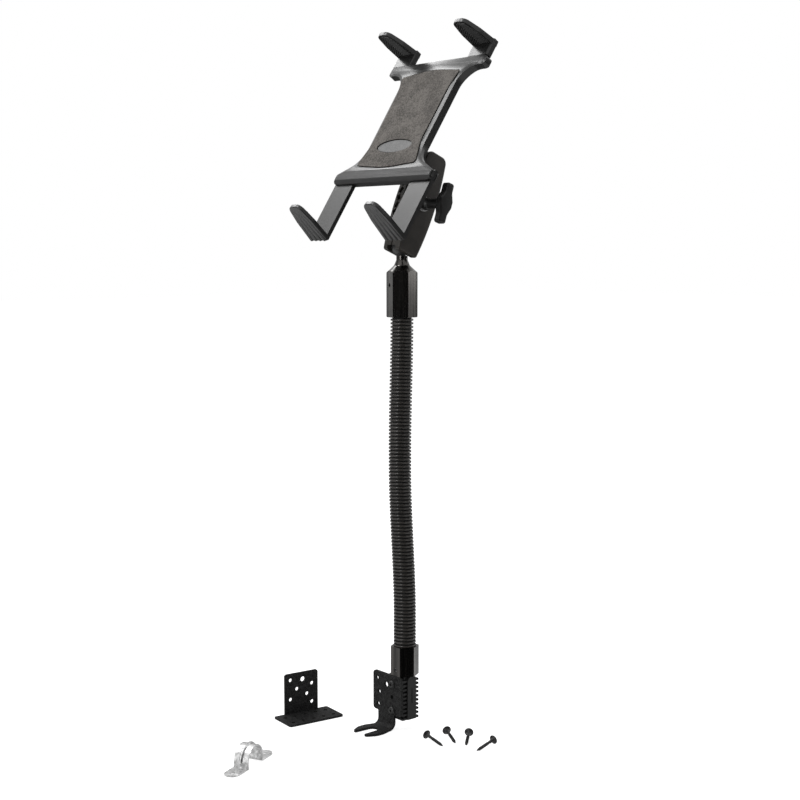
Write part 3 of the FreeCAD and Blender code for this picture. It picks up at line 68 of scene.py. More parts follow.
NECK_ACROSS, NECK_BACK = 16.5, 36.0
NECK_FOOT, NECK_LONG, RIBS = 100.5, 385.0, 94
RIB_PITCH = NECK_LONG / RIBS
NECK_SWAY, SWAY_FROM, SWAY_OVER = 7.4, 0.1, 0.45
NECK_END_SHIFT, RETURN_FROM, RETURN_OVER = 4.4, 0.6, 0.4
RIB_CREST, RIB_ROOT, SLEEVE_BORE = 13.1, 11.15, 8.3
JOINT_RIBS = (10, 25, 40, 54, 69, 84)
SKIN_RIBS = (0, 17, 32, 47, 61, 76, 94)
BEND_REACH = 26.0
LOWER_BALL = np.array([16.5, 31.6, 566.5])
ARM_LEAN, ARM_LONG = math.radians(22.5), 103.0
HOLDER_LEAN = math.radians(33.0)
BALL_BACK, BALL_UP = 47.0, 57.0
LEG_BACK, LEG_REACH, LEG_MIDDLE = -6.6, 75.0, 67.5
STRAP_BACK, FOLD_UP, STRAP_MIDDLE = -3.4, 177.3, 65.75


def lean_back(points, angle):
    """Turn about X so that Z tips towards +Y: y' = y cos + z sin, z' = z cos - y sin."""
    x, y, z = np.moveaxis(np.asarray(points, float), -1, 0)
    cos, sin = math.cos(angle), math.sin(angle)
    return np.stack([x, y * cos + z * sin, z * cos - y * sin], -1)


UPPER_BALL = LOWER_BALL + lean_back([0, 0, ARM_LONG], ARM_LEAN)
HOLDER_BASE = UPPER_BALL - lean_back([0, BALL_BACK, BALL_UP], HOLDER_LEAN)


def on_holder(u, v, w):
    """Points given across, up and out of the holder's face, as row coordinates."""
    u, v, w = np.broadcast_arrays(np.asarray(u, float), v, w)
    return HOLDER_BASE + lean_back(np.stack([u, -w, v], -1), HOLDER_LEAN)


def smooth(x):
    """3x^2 - 2x^3 between 0 and 1, flat outside."""
    x = np.clip(x, 0, 1)
    return x * x * (3 - 2 * x)


# Meshes from grids of points and from the solids

GRID_WELD, SOLID_WELD = 1e-7, 2e-6
SKIN_SHARP, SCREW_SHARP, SOLID_SHARP = math.radians(40), math.radians(50), math.radians(28)
NEARLY_FLAT = math.radians(0.5)
BEVEL_STEPS = 2


def in_scene(name, data):
    """A new object in the scene, at the origin."""
    thing = bpy.data.objects.new(name, data)
    bpy.context.scene.collection.objects.link(thing)
    return thing


def from_mesh(name, mesh, sharp=SKIN_SHARP):
    """An object from a closed mesh, its faces turned outwards and smooth except over sharp edges."""
    work = bmesh.new()
    work.from_mesh(mesh)
    bmesh.ops.remove_doubles(work, verts=work.verts, dist=GRID_WELD)
    bmesh.ops.recalc_face_normals(work, faces=work.faces)
    work.to_mesh(mesh)
    work.free()
    mesh.shade_smooth()
    mesh.set_sharp_from_angle(angle=sharp)
    return in_scene(name, mesh)


def skin(name, points, closed=(False, False), capped=False):
    """Quads over a grid (rows, columns, 3); closed joins the rows or the columns on themselves, capped fills
    the first and last row with one face each."""
    points = np.asarray(points, float)
    rows, cols = points.shape[:2]
    index = np.arange(rows * cols).reshape(rows, cols)
    down = np.roll(index, -1, 0) if closed[0] else index[1:]
    here = index if closed[0] else index[:-1]
    right = np.roll(here, -1, 1), np.roll(down, -1, 1)
    cut = slice(None) if closed[1] else slice(None, -1)
    quads = np.stack([here[:, cut], right[0][:, cut], right[1][:, cut], down[:, cut]], -1).reshape(-1, 4)
    faces = quads.tolist()
    if capped:
        faces += [index[0][::-1].tolist(), index[-1].tolist()]
    mesh = bpy.data.meshes.new(name)
    mesh.from_pydata((points.reshape(-1, 3) * MM).tolist(), [], faces)
    return from_mesh(name, mesh)


def merged(name, pieces):
    """Several pieces' meshes in one object."""
    work = bmesh.new()
    for piece in pieces:
        work.from_mesh(piece.data)
        bpy.data.objects.remove(piece)
    mesh = bpy.data.meshes.new(name)
    work.to_mesh(mesh)
    work.free()
    return from_mesh(name, mesh, SCREW_SHARP)


def softened(node, width):
    """A copy of a node with its corners eased: doubles merged, flat faces joined, then a small bevel."""
    source = frame["nodes"][node]
    mesh = source.data.copy()
    mesh.transform(source.matrix_world)
    work = bmesh.new()
    work.from_mesh(mesh)
    bmesh.ops.remove_doubles(work, verts=work.verts, dist=SOLID_WELD)
    bmesh.ops.dissolve_limit(work, angle_limit=NEARLY_FLAT, verts=work.verts, edges=work.edges)
    work.to_mesh(mesh)
    work.free()
    for name in [a.name for a in mesh.attributes if a.name == "custom_normal"]:
        mesh.attributes.remove(mesh.attributes[name])
    mesh.shade_smooth()
    mesh.set_sharp_from_angle(angle=SOLID_SHARP)
    piece = in_scene(node + "_eased", mesh)
    ease = piece.modifiers.new("eased_corners", "BEVEL")
    ease.width, ease.segments = width * MM, BEVEL_STEPS
    ease.limit_method, ease.angle_limit = "ANGLE", SOLID_SHARP
    ease.harden_normals = True
    ease.use_clamp_overlap = True
    ease.miter_outer = "MITER_ARC"
    return piece


# Shader node groups


def group(name, sockets_in, sockets_out):
    """An empty node group with its sockets; each input is (name, type, default)."""
    tree = bpy.data.node_groups.new(name, "ShaderNodeTree")
    for label, kind, default in sockets_in:
        socket = tree.interface.new_socket(label, in_out="INPUT", socket_type=kind)
        if default is not None:
            socket.default_value = default
    for label, kind in sockets_out:
        tree.interface.new_socket(label, in_out="OUTPUT", socket_type=kind)
    return tree, tree.nodes.new("NodeGroupInput"), tree.nodes.new("NodeGroupOutput")


def maths(tree, operation, a, b, clamp=False):
    """One Math node; a and b are sockets or numbers."""
    node = tree.nodes.new("ShaderNodeMath")
    node.operation, node.use_clamp = operation, clamp
    for socket, value in zip(node.inputs, (a, b)):
        if isinstance(value, bpy.types.NodeSocket):
            tree.links.new(value, socket)
        else:
            socket.default_value = value
    return node.outputs[0]


def noise(tree, where, scale, detail, rough=0.55):
    """Noise; where and scale are sockets."""
    node = tree.nodes.new("ShaderNodeTexNoise")
    tree.links.new(where, node.inputs["Vector"])
    tree.links.new(scale, node.inputs["Scale"])
    node.inputs["Detail"].default_value = detail
    node.inputs["Roughness"].default_value = rough
    return node.outputs["Fac"]


def mixed(tree, share, a, b):
    """A colour mix; share, a and b are sockets."""
    node = tree.nodes.new("ShaderNodeMix")
    node.data_type = "RGBA"
    tree.links.new(share, node.inputs["Factor"])
    tree.links.new(a, node.inputs["A"])
    tree.links.new(b, node.inputs["B"])
    return node.outputs["Result"]


def make_tone_group():
    """Two tones mixed by soft clouds and a finer grain:
    share = ((clouds - 0.5) + (grain - 0.5) grain share) contrast + 0.5."""
    tree, given, put = group(
        "two_tone_clouds",
        [("Where", "NodeSocketVector", None), ("Dark", "NodeSocketColor", None),
         ("Light", "NodeSocketColor", None), ("Cloud Scale", "NodeSocketFloat", 60.0),
         ("Grain Scale", "NodeSocketFloat", 900.0), ("Grain Share", "NodeSocketFloat", 0.4),
         ("Contrast", "NodeSocketFloat", 2.0)],
        [("Colour", "NodeSocketColor"), ("Share", "NodeSocketFloat")])
    clouds = noise(tree, given.outputs["Where"], given.outputs["Cloud Scale"], 4.0)
    grain = noise(tree, given.outputs["Where"], given.outputs["Grain Scale"], 2.0)
    lift = maths(tree, "MULTIPLY", maths(tree, "SUBTRACT", grain, 0.5), given.outputs["Grain Share"])
    level = maths(tree, "ADD", maths(tree, "SUBTRACT", clouds, 0.5), lift)
    spread = maths(tree, "MULTIPLY", level, given.outputs["Contrast"])
    share = maths(tree, "ADD", spread, 0.5, clamp=True)
    tree.links.new(mixed(tree, share, given.outputs["Dark"], given.outputs["Light"]), put.inputs["Colour"])
    tree.links.new(share, put.inputs["Share"])
    return tree


def make_texture_group():
    """Moulded or coated surface: height = pebbles (smooth cells) * pebble share + fine noise."""
    tree, given, put = group(
        "surface_grain",
        [("Where", "NodeSocketVector", None), ("Pebble Scale", "NodeSocketFloat", 1400.0),
         ("Noise Scale", "NodeSocketFloat", 2500.0), ("Pebble Share", "NodeSocketFloat", 0.6)],
        [("Height", "NodeSocketFloat")])
    cells = tree.nodes.new("ShaderNodeTexVoronoi")
    cells.feature = "SMOOTH_F1"
    tree.links.new(given.outputs["Where"], cells.inputs["Vector"])
    tree.links.new(given.outputs["Pebble Scale"], cells.inputs["Scale"])
    fine = noise(tree, given.outputs["Where"], given.outputs["Noise Scale"], 2.0)
    pebbles = maths(tree, "MULTIPLY", cells.outputs["Distance"], given.outputs["Pebble Share"])
    tree.links.new(maths(tree, "ADD", pebbles, fine), put.inputs["Height"])
    return tree


def make_gloss_group():
    """Roughness = low + patches (high - low), as handled plastic and plated steel have."""
    tree, given, put = group(
        "patchy_gloss",
        [("Where", "NodeSocketVector", None), ("Low", "NodeSocketFloat", 0.3),
         ("High", "NodeSocketFloat", 0.5), ("Patch Scale", "NodeSocketFloat", 90.0)],
        [("Roughness", "NodeSocketFloat")])
    patches = noise(tree, given.outputs["Where"], given.outputs["Patch Scale"], 4.0, 0.6)
    span = maths(tree, "SUBTRACT", given.outputs["High"], given.outputs["Low"])
    tree.links.new(maths(tree, "ADD", given.outputs["Low"], maths(tree, "MULTIPLY", patches, span)),
                   put.inputs["Roughness"])
    return tree


TONES, GRAIN, GLOSS = make_tone_group(), make_texture_group(), make_gloss_group()


def placed(tree, base, values, where):
    """A group placed in a material with its own values."""
    node = tree.nodes.new("ShaderNodeGroup")
    node.node_tree = base
    tree.links.new(where, node.inputs["Where"])
    for label, value in values.items():
        node.inputs[label].default_value = value
    return node


def new_material(name):
    """A material, its node tree and its Principled shader."""
    material = bpy.data.materials.new(name)
    material.use_nodes = True
    return material, material.node_tree, material.node_tree.nodes["Principled BSDF"]


def finish(name, dark, light, gloss, metallic=0.0, clouds=70.0, grain=900.0, grain_share=0.4, contrast=2.0,
           bump=0.1, pebble=1400.0, pebble_share=0.6, depth=0.05, specular=0.5, stretch=None):
    """A material: clouded colour, patchy roughness and a bumped grain, all on Object coordinates."""
    material, tree, shader = new_material(name)
    where = tree.nodes.new("ShaderNodeTexCoord").outputs["Object"]
    if stretch:
        squeeze = tree.nodes.new("ShaderNodeMapping")
        squeeze.inputs["Scale"].default_value = stretch
        tree.links.new(where, squeeze.inputs["Vector"])
        where = squeeze.outputs["Vector"]
    tone = placed(tree, TONES, {"Dark": dark, "Light": light, "Cloud Scale": clouds, "Grain Scale": grain,
                                "Grain Share": grain_share, "Contrast": contrast}, where)
    tree.links.new(tone.outputs["Colour"], shader.inputs["Base Color"])
    shine = placed(tree, GLOSS, {"Low": gloss[0], "High": gloss[1]}, where)
    tree.links.new(shine.outputs["Roughness"], shader.inputs["Roughness"])
    texture = placed(tree, GRAIN, {"Pebble Scale": pebble, "Pebble Share": pebble_share}, where)
    relief = tree.nodes.new("ShaderNodeBump")
    relief.inputs["Strength"].default_value = bump
    relief.inputs["Distance"].default_value = depth * MM
    tree.links.new(texture.outputs["Height"], relief.inputs["Height"])
    tree.links.new(relief.outputs["Normal"], shader.inputs["Normal"])
    shader.inputs["Metallic"].default_value = metallic
    shader.inputs["Specular IOR Level"].default_value = specular
    return material


def grey(level, warmth=0.0):
    """A near-neutral linear colour; warmth lifts red and lowers blue."""
    return (level * (1 + warmth), level, level * (1 - warmth), 1.0)


FINISHES = {
    "black_powder_coat": dict(dark=grey(0.003), light=grey(0.030), gloss=(0.50, 0.64), bump=0.8, pebble=900,
                              depth=0.2, clouds=300, grain=1000, grain_share=2.2, contrast=2.2, specular=0.1),
    "dark_steel": dict(dark=grey(0.10), light=grey(0.20), gloss=(0.25, 0.4), metallic=1.0, depth=0.02),
    "black_nylon": dict(dark=grey(0.006), light=grey(0.012), gloss=(0.34, 0.48), bump=0.4, depth=0.08,
                        specular=0.28),
    "black_chrome": dict(dark=grey(0.026, 0.03), light=grey(0.080, 0.06), gloss=(0.10, 0.24), metallic=1.0,
                         clouds=150, contrast=4.0, bump=0.5, pebble=200, pebble_share=1.6, depth=0.09,
                         stretch=(1, 1, 0.02)),
    "ball_rubber": dict(dark=grey(0.012), light=grey(0.024), gloss=(0.3, 0.45), bump=0.3, depth=0.05,
                        specular=0.45),
    "arm_paint": dict(dark=grey(0.011, 0.12), light=grey(0.026, 0.16), gloss=(0.36, 0.5), clouds=45,
                      bump=0.35, pebble=1100, depth=0.07, specular=0.35),
    "zinc_steel": dict(dark=grey(0.36), light=grey(0.78), gloss=(0.24, 0.40), metallic=1.0, clouds=260,
                       contrast=3.0, bump=0.25, pebble=500, depth=0.05),
    "spring_steel": dict(dark=grey(0.30), light=grey(0.42), gloss=(0.25, 0.4), metallic=1.0),
    "black_gloss": dict(dark=grey(0.006), light=grey(0.013), gloss=(0.32, 0.44), bump=0.2, depth=0.05,
                        specular=0.4),
    "brass": dict(dark=(0.42, 0.27, 0.09, 1), light=(0.60, 0.42, 0.17, 1), gloss=(0.2, 0.35), metallic=1.0),
    "black_abs": dict(dark=grey(0.012), light=grey(0.020), gloss=(0.29, 0.32), bump=0.08, pebble=1700,
                      depth=0.015),
    "soft_pad": dict(dark=grey(0.070, 0.08), light=grey(0.165, 0.08), gloss=(0.78, 0.95), clouds=48,
                     grain=520, grain_share=1.6, contrast=1.9, bump=0.6, pebble=1300, depth=0.14,
                     specular=0.25),
    "satin_aluminium": dict(dark=grey(0.045), light=grey(0.085), gloss=(0.4, 0.55), metallic=0.5, clouds=600,
                            grain=1500, contrast=3.0, bump=0.5, pebble=900, depth=0.06),
    "neck_sleeve": dict(dark=grey(0.5, 0.02), light=grey(1.0, 0.02), gloss=(0.20, 0.30), bump=0.12,
                        depth=0.04, specular=0.4),
    "claw_rubber": dict(dark=grey(0.007), light=grey(0.017), gloss=(0.34, 0.46), bump=0.2, depth=0.05,
                        specular=0.42),
    "black_phosphate": dict(dark=grey(0.010), light=grey(0.028), gloss=(0.3, 0.5), metallic=0.3, bump=0.3,
                            specular=0.4),
}
MATERIALS = {name: finish(name, **values) for name, values in FINISHES.items()}


def mark_crest(piece, values):
    """Store a value for each vertex that the material reads as crest; where it is 0 the material paints shade."""
    crest = piece.data.attributes.new("crest", "FLOAT", "POINT")
    crest.data.foreach_set("value", np.asarray(values, np.float32).ravel())


def paint_shade_off_crest(material, groove, crest, gloss):
    """Paint shade into a piece where its crest attribute falls to 0, and dull it there: painted shade in a
    sleeve's grooves and at a pad's cut edge.
    colour = clouds * (groove to crest), groove being the painted shade's colour; roughness = patches + gloss (1 -
    crest)."""
    tree = material.node_tree
    shader = tree.nodes["Principled BSDF"]
    mark = tree.nodes.new("ShaderNodeAttribute")
    mark.attribute_name = "crest"
    # Painted shade: the colour runs from groove, the painted shade's colour, at crest 0 to the crest level at
    # crest 1
    level = tree.nodes.new("ShaderNodeMix")
    level.data_type = "RGBA"
    level.inputs["A"].default_value, level.inputs["B"].default_value = groove, crest
    tree.links.new(mark.outputs["Fac"], level.inputs["Factor"])
    clouded = tree.nodes.new("ShaderNodeMix")
    clouded.data_type, clouded.blend_type = "RGBA", "MULTIPLY"
    clouded.inputs["Factor"].default_value = 1.0
    tree.links.new(level.outputs["Result"], clouded.inputs["A"])
    tree.links.new(shader.inputs["Base Color"].links[0].from_socket, clouded.inputs["B"])
    tree.links.new(clouded.outputs["Result"], shader.inputs["Base Color"])
    dull = maths(tree, "MULTIPLY", maths(tree, "SUBTRACT", 1.0, mark.outputs["Fac"]), gloss)
    shine = maths(tree, "ADD", shader.inputs["Roughness"].links[0].from_socket, dull, clamp=True)
    tree.links.new(shine, shader.inputs["Roughness"])


# Painted shade in the sleeve's grooves: near black at crest 0
paint_shade_off_crest(MATERIALS["neck_sleeve"], grey(0.003), grey(0.040, 0.08), 0.5)
# Painted shade at the pad's cut edges and back: colour down to 0.06 at crest 0
paint_shade_off_crest(MATERIALS["soft_pad"], grey(0.06), grey(1.0), 0.1)
SLOT_OF = {part["node"]: part["material_slot"] for part in frame["record"]["subparts"]}
BODY_OF = {node: body for body, nodes in frame["record"]["behaviour"]["bodies"].items() for node in nodes}


def dress(piece, slot):
    """Give a piece the material of the given slot."""
    piece.data.materials.clear()
    piece.data.materials.append(MATERIALS[slot])


def stand_for(piece, node):
    """Dress a piece as a node, ride on the node's body, and hide the node."""
    dress(piece, SLOT_OF[node])
    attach(piece, BODY_OF[node])
    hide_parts(node)


for node, solid in frame["nodes"].items():
    solid.data.materials.clear()
    solid.data.materials.append(MATERIALS[SLOT_OF[node]])

# Gooseneck sleeve: one ribbed skin for each bend, ring ribs with rounded crests

BEAD_HALF, BEAD_POWER = 0.29, 8
BEAD_STEPS = np.array([-0.29, -0.285, -0.27, -0.24, -0.15, 0.0, 0.15, 0.24, 0.27, 0.285, 0.29, 0.5])
BORE_ROWS, SLEEVE_SIDES = 12, 56


def neck_centre(height):
    """The centre line: straight, less a forward sway over 0.10 to 0.55 of the length, plus a part return over
    its last 0.4."""
    share = (height - NECK_FOOT) / NECK_LONG
    forward = NECK_SWAY * smooth((share - SWAY_FROM) / SWAY_OVER)
    back = (NECK_SWAY - NECK_END_SHIFT) * smooth((share - RETURN_FROM) / RETURN_OVER)
    return np.stack([np.full_like(height, NECK_ACROSS), NECK_BACK - forward + back, height], -1)


def ribbed_skin(name, first, last):
    """Radius = root + (crest - root) sqrt(1 - |d / 0.29|^8) with d in pitches from each rib's middle; the bore
    closes the tube inside. The attribute crest is smooth((distance from the centre line - root) / depth); where
    it falls to 0 the material paints shade into the grooves."""
    middle = np.arange(first, last)[:, None] + BEAD_HALF + BEAD_STEPS[None, :]
    bead = np.sqrt(np.clip(1 - np.abs(BEAD_STEPS / BEAD_HALF) ** BEAD_POWER, 0, 1))
    radius = np.tile(RIB_ROOT + (RIB_CREST - RIB_ROOT) * bead, last - first)
    height = NECK_FOOT + RIB_PITCH * middle.ravel()
    height, radius = np.append(height, NECK_FOOT + RIB_PITCH * last), np.append(radius, RIB_ROOT)
    inner = np.linspace(height[-1], height[0], BORE_ROWS)
    height, radius = np.append(height, inner), np.append(radius, np.full(BORE_ROWS, SLEEVE_BORE))
    turn = np.linspace(0, 2 * math.pi, SLEEVE_SIDES, endpoint=False)
    ring = np.stack([np.cos(turn), np.sin(turn), np.zeros_like(turn)], -1)
    points = neck_centre(height)[:, None, :] + radius[:, None, None] * ring[None]
    sleeve = skin(name, points, (True, True))
    xyz = np.empty(3 * len(sleeve.data.vertices))
    sleeve.data.vertices.foreach_get("co", xyz)
    xyz = xyz.reshape(-1, 3) / MM
    out = np.linalg.norm(xyz - neck_centre(xyz[:, 2]), axis=1)
    # crest falls to 0 down in the grooves, where the sleeve's material paints shade
    mark_crest(sleeve, smooth((out - RIB_ROOT) / (RIB_CREST - RIB_ROOT)))
    return sleeve


for bend, joint_rib in enumerate(JOINT_RIBS):
    sleeve = ribbed_skin("ribbed_sleeve_%d" % (bend + 1), SKIN_RIBS[bend], SKIN_RIBS[bend + 1])
    dress(sleeve, "neck_sleeve")
    low, high = neck_centre(NECK_FOOT + RIB_PITCH * joint_rib + np.array([-BEND_REACH, BEND_REACH])) * MM
    below = "neck_%d" % bend if bend else "seat_foot"
    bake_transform(sleeve, below, "neck_%d" % (bend + 1), start=tuple(low), end=tuple(high))
    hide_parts(*(["neck_sleeve_0"] if bend == 0 else []), "neck_sleeve_%d" % (bend + 1))

# Rigid pieces, each with the width of its eased corners

EASED = {
    "front_cover": 0.7, "back_cover": 0.6, "crossbar": 0.5, "upper_claw_left": 0.7, "upper_claw_right": 0.7,
    "lower_leg_left": 0.5, "lower_leg_right": 0.5, "arm_inner": 0.4, "arm_outer": 0.4, "clamp_knob": 0.5,
    "seat_bracket": 0.5, "post": 0.3, "lower_collar": 0.5, "upper_collar": 0.4, "floor_bracket": 0.5,
    "release_button_left": 0.25, "release_button_right": 0.25, "ball_plate": 0.4, "clamp_washer": 0.2,
    "bracket_screws": 0.25, "ball_plate_screws": 0.2, "badge_plate": 0.25,
}
for node, width in EASED.items():
    stand_for(softened(node, width), node)

# Soft pad: a ring-shaped surface between the badge's oval and the pad's outline

PAD_BACK, PAD_FRONT, PAD_EDGE, PAD_CROWN = 3.9, 5.7, 0.9, 0.35
BADGE_UP, BADGE_LONG, BADGE_TALL = 43.6, 29.7, 8.8
PAD_CORNERS = [(0, 14.0, 150), (52.4, 19.0, 4), (42.9, 47.5, 45), (44.1, 122.0, 55), (50.0, 143.5, 2.5),
               (0, 149.5, 150)]
ARC_STEPS, PAD_STEPS, EDGE_ROWS = 10, 360, 6
FACE_ROWS = np.linspace(0.04, 0.96, 24)
# Rows of the rounded edge within this share of it from the cut carry painted shade
SHADED_EDGE_SHARE = 0.4


def rounded_outline(corners):
    """Closed line through corners (a, b, radius): each corner an arc tangent to its sides."""
    corner = np.array([(a, b) for a, b, _ in corners], float)
    line = []
    for i, (_, _, radius) in enumerate(corners):
        back, ahead = corner[i - 1] - corner[i], corner[(i + 1) % len(corner)] - corner[i]
        back, ahead = back / np.linalg.norm(back), ahead / np.linalg.norm(ahead)
        half = 0.5 * math.acos(np.clip(back @ ahead, -1, 1))
        centre = corner[i] + (back + ahead) / np.linalg.norm(back + ahead) * radius / math.sin(half)
        start, end = corner[i] + back * radius / math.tan(half), corner[i] + ahead * radius / math.tan(half)
        chord = start + (end - start) * np.linspace(0, 1, ARC_STEPS)[:, None]
        line.append(centre + (chord - centre) / np.linalg.norm(chord - centre, axis=1)[:, None] * radius)
    return np.concatenate(line)


def evenly(line, count):
    """A closed line resampled to points at equal steps."""
    closed = np.vstack([line, line[:1]])
    run = np.concatenate([[0], np.cumsum(np.linalg.norm(np.diff(closed, axis=0), axis=1))])
    at = np.linspace(0, run[-1], count, endpoint=False)
    return np.stack([np.interp(at, run, closed[:, k]) for k in (0, 1)], -1)


def make_soft_pad():
    """w = front - r + sqrt(r^2 - (r - d)^2) within r of an edge, d the distance to it, less a low crown
    0.35 (1 - sin(pi q)) from the oval (q = 0) to the outline (q = 1). Its cut edges and its back carry painted
    shade: they are dark."""
    corners = PAD_CORNERS + [(-a, b, radius) for a, b, radius in PAD_CORNERS[4:0:-1]]
    outline = evenly(rounded_outline(corners), PAD_STEPS)
    angle = np.arctan2((outline[:, 1] - BADGE_UP) / BADGE_TALL, outline[:, 0] / BADGE_LONG)
    oval = np.stack([BADGE_LONG * np.cos(angle), BADGE_UP + BADGE_TALL * np.sin(angle)], -1)
    reach = np.linalg.norm(outline - oval, axis=1)
    edge = PAD_EDGE * (1 - np.cos(np.linspace(0, math.pi / 2, EDGE_ROWS)))
    rows = [(d / reach, d) for d in edge]
    rows += [(np.full_like(reach, q), PAD_EDGE) for q in FACE_ROWS]
    rows += [(1 - d / reach, d) for d in edge[::-1]]
    grid, crest = [], []
    for q, d in rows:
        flat = oval + (outline - oval) * q[:, None]
        rise = math.sqrt(PAD_EDGE ** 2 - (PAD_EDGE - d) ** 2) - PAD_EDGE
        out = PAD_FRONT + rise - PAD_CROWN + PAD_CROWN * np.sin(math.pi * q)
        grid.append(on_holder(flat[:, 0], flat[:, 1], out))
        # Painted shade: crest 0 on the rows nearest the cut darkens them
        crest.append(np.full(len(oval), 1.0 if d > SHADED_EDGE_SHARE * PAD_EDGE else 0.0))
    for flat in (outline, oval):
        grid.append(on_holder(flat[:, 0], flat[:, 1], PAD_BACK))
        # Painted shade on the back as well: crest 0
        crest.append(np.zeros(len(oval)))
    pad = skin("soft_pad", np.array(grid), (True, True))
    mark_crest(pad, crest)
    return pad


soft_pad = make_soft_pad()
stand_for(soft_pad, "front_pad")

# Claw pads: moulded rubber with a herringbone of low ribs

LOWER_FINGER, UPPER_FINGER = (33.0, 52.0, 4.9), (31.5, 50.9, 7.8)  # width, length, and the fold at its foot
LOWER_LEAN, UPPER_LEAN = math.radians(12.0), math.radians(3.6)
LOWER_THICK, FOLD_DROP = 5.0, 1.1
FINGER_INSET, PAD_PROUD, PAD_SUNK, TIP_GAP = 2.2, 0.8, 1.0, 0.05
TAPER, TIP_FROM, TIP_POWER, TIP_ROOT = 1.4, 0.55, 2.6, 2.2
RIM_WIDE, RIM_FOOT = 1.2, 1.0
HERRING_SLOPE, HERRING_PITCH, HERRING_TALL, HERRING_FLANK = 0.8, 3.0, 0.7, 0.8
HERRING_ROOT = 0.25
CLAW_ROWS, CLAW_COLUMNS, ROW_CROWDING = 190, 46, 0.85


def finger_half_width(y, wide, long):
    """Half the pad's width along the finger: a slight taper, then a superellipse over the rounded tip."""
    taper = wide / 2 - FINGER_INSET - TAPER * np.clip(y / (TIP_FROM * long), 0, 1)
    tail = np.clip((y - TIP_FROM * long) / ((1 - TIP_FROM) * long - FINGER_INSET), 0, 1)
    return taper * np.clip(1 - tail ** TIP_POWER, 0, 1) ** (1 / TIP_ROOT)


def on_finger(x, y, z, side, lower):
    """From a finger made flat (inner face at z = 0, folded edge at y = 0) to the holder."""
    if lower:
        cos, sin = math.cos(LOWER_LEAN), math.sin(LOWER_LEAN)
        y, z = -y * cos - z * sin, y * sin - z * cos
        return on_holder(side * LEG_MIDDLE + x, -LEG_REACH + LOWER_THICK - FOLD_DROP + z, LEG_BACK - y)
    cos, sin = math.cos(UPPER_LEAN), math.sin(UPPER_LEAN)
    y, z = y * cos + z * sin, z * cos - y * sin
    return on_holder(side * STRAP_MIDDLE - x, FOLD_UP + z, STRAP_BACK + y)


def make_claw_pad(name, side, lower):
    """Ring sections along the finger: the top carries ribs 0.7 smooth(0.5 + 0.8 cos(2 pi phase)), with phase
    (0.8 |x| + y) / 3, faded to the edge."""
    wide, long, foot = LOWER_FINGER if lower else UPPER_FINGER
    start = foot + FINGER_INSET
    crowded = np.sin(np.linspace(0, math.pi / 2, CLAW_ROWS)) ** ROW_CROWDING
    along = start + (long - FINGER_INSET - TIP_GAP - start) * crowded
    half = finger_half_width(along, wide, long)
    across = np.sin(np.linspace(-math.pi / 2, math.pi / 2, CLAW_COLUMNS))
    x = across[None, :] * half[:, None]
    y = np.broadcast_to(along[:, None], x.shape)
    rim = np.clip((half[:, None] - np.abs(x)) / RIM_WIDE, 0, 1)
    rim = rim * np.clip((along - along[0]) / RIM_FOOT, 0, 1)[:, None]
    rim = rim * np.clip((along[-1] - along) / RIM_WIDE, 0, 1)[:, None]
    phase = (np.abs(x) * HERRING_SLOPE + y) / HERRING_PITCH
    ribs = HERRING_TALL * smooth(0.5 + HERRING_FLANK * np.cos(2 * math.pi * phase)) * smooth(rim)
    top = -PAD_PROUD * np.sqrt(np.clip(rim * (2 - rim), 0, 1)) - ribs + HERRING_ROOT
    upper = np.stack([x, y, top], -1)
    under = np.stack([x[:, ::-1], y, np.full_like(x, PAD_SUNK)], -1)
    ring = np.concatenate([upper, under], 1)
    points = on_finger(ring[..., 0], ring[..., 1], ring[..., 2], side, lower)
    return skin(name, points, (False, True), capped=True)


for label, side in (("left", -1), ("right", 1)):
    for height in ("upper", "lower"):
        node = "%s_pad_%s" % (height, label)
        stand_for(make_claw_pad("claw_" + node, side, height == "lower"), node)

# Wood screws: threaded shank, bugle head with a cross recess; each lies at x, y with a heading in degrees

WOOD_SCREWS = [(78.3, 28.8, -4.0), (81.1, 51.3, -23.0), (98.4, 61.2, -49.0), (127.6, 61.4, -81.0)]
SCREW_LONG, SCREW_SHANK, SCREW_HEAD = 33.0, 1.8, 5.2
HEAD_DEEP, HEAD_CAP, FLARE_POWER = 4.5, 0.9, 1.8
CORE_LOW, TIP_LONG, TIP_BLUNT = 0.5, 7.5, 0.7
THREAD_PITCH, THREAD_TALL, THREAD_POWER, THREAD_FADE = 1.9, 0.62, 3, 3.0
THREAD_END, BARE_START, BARE_FADE = 9.0, 10.0, 2.0
CROSS_DEEP, CROSS_HALF, CROSS_FLANK, CROSS_REACH, CROSS_END = 1.5, 0.85, 0.5, 2.9, 0.6
SCREW_SIDES, SHANK_ROWS, FLARE_ROWS, CAP_ROWS = 32, 200, 8, 14
FLOOR_GAP = 0.02


def round_rows(radius):
    """A radius for each row, repeated for every side of the screw."""
    return np.repeat(radius[:, None], SCREW_SIDES, 1)


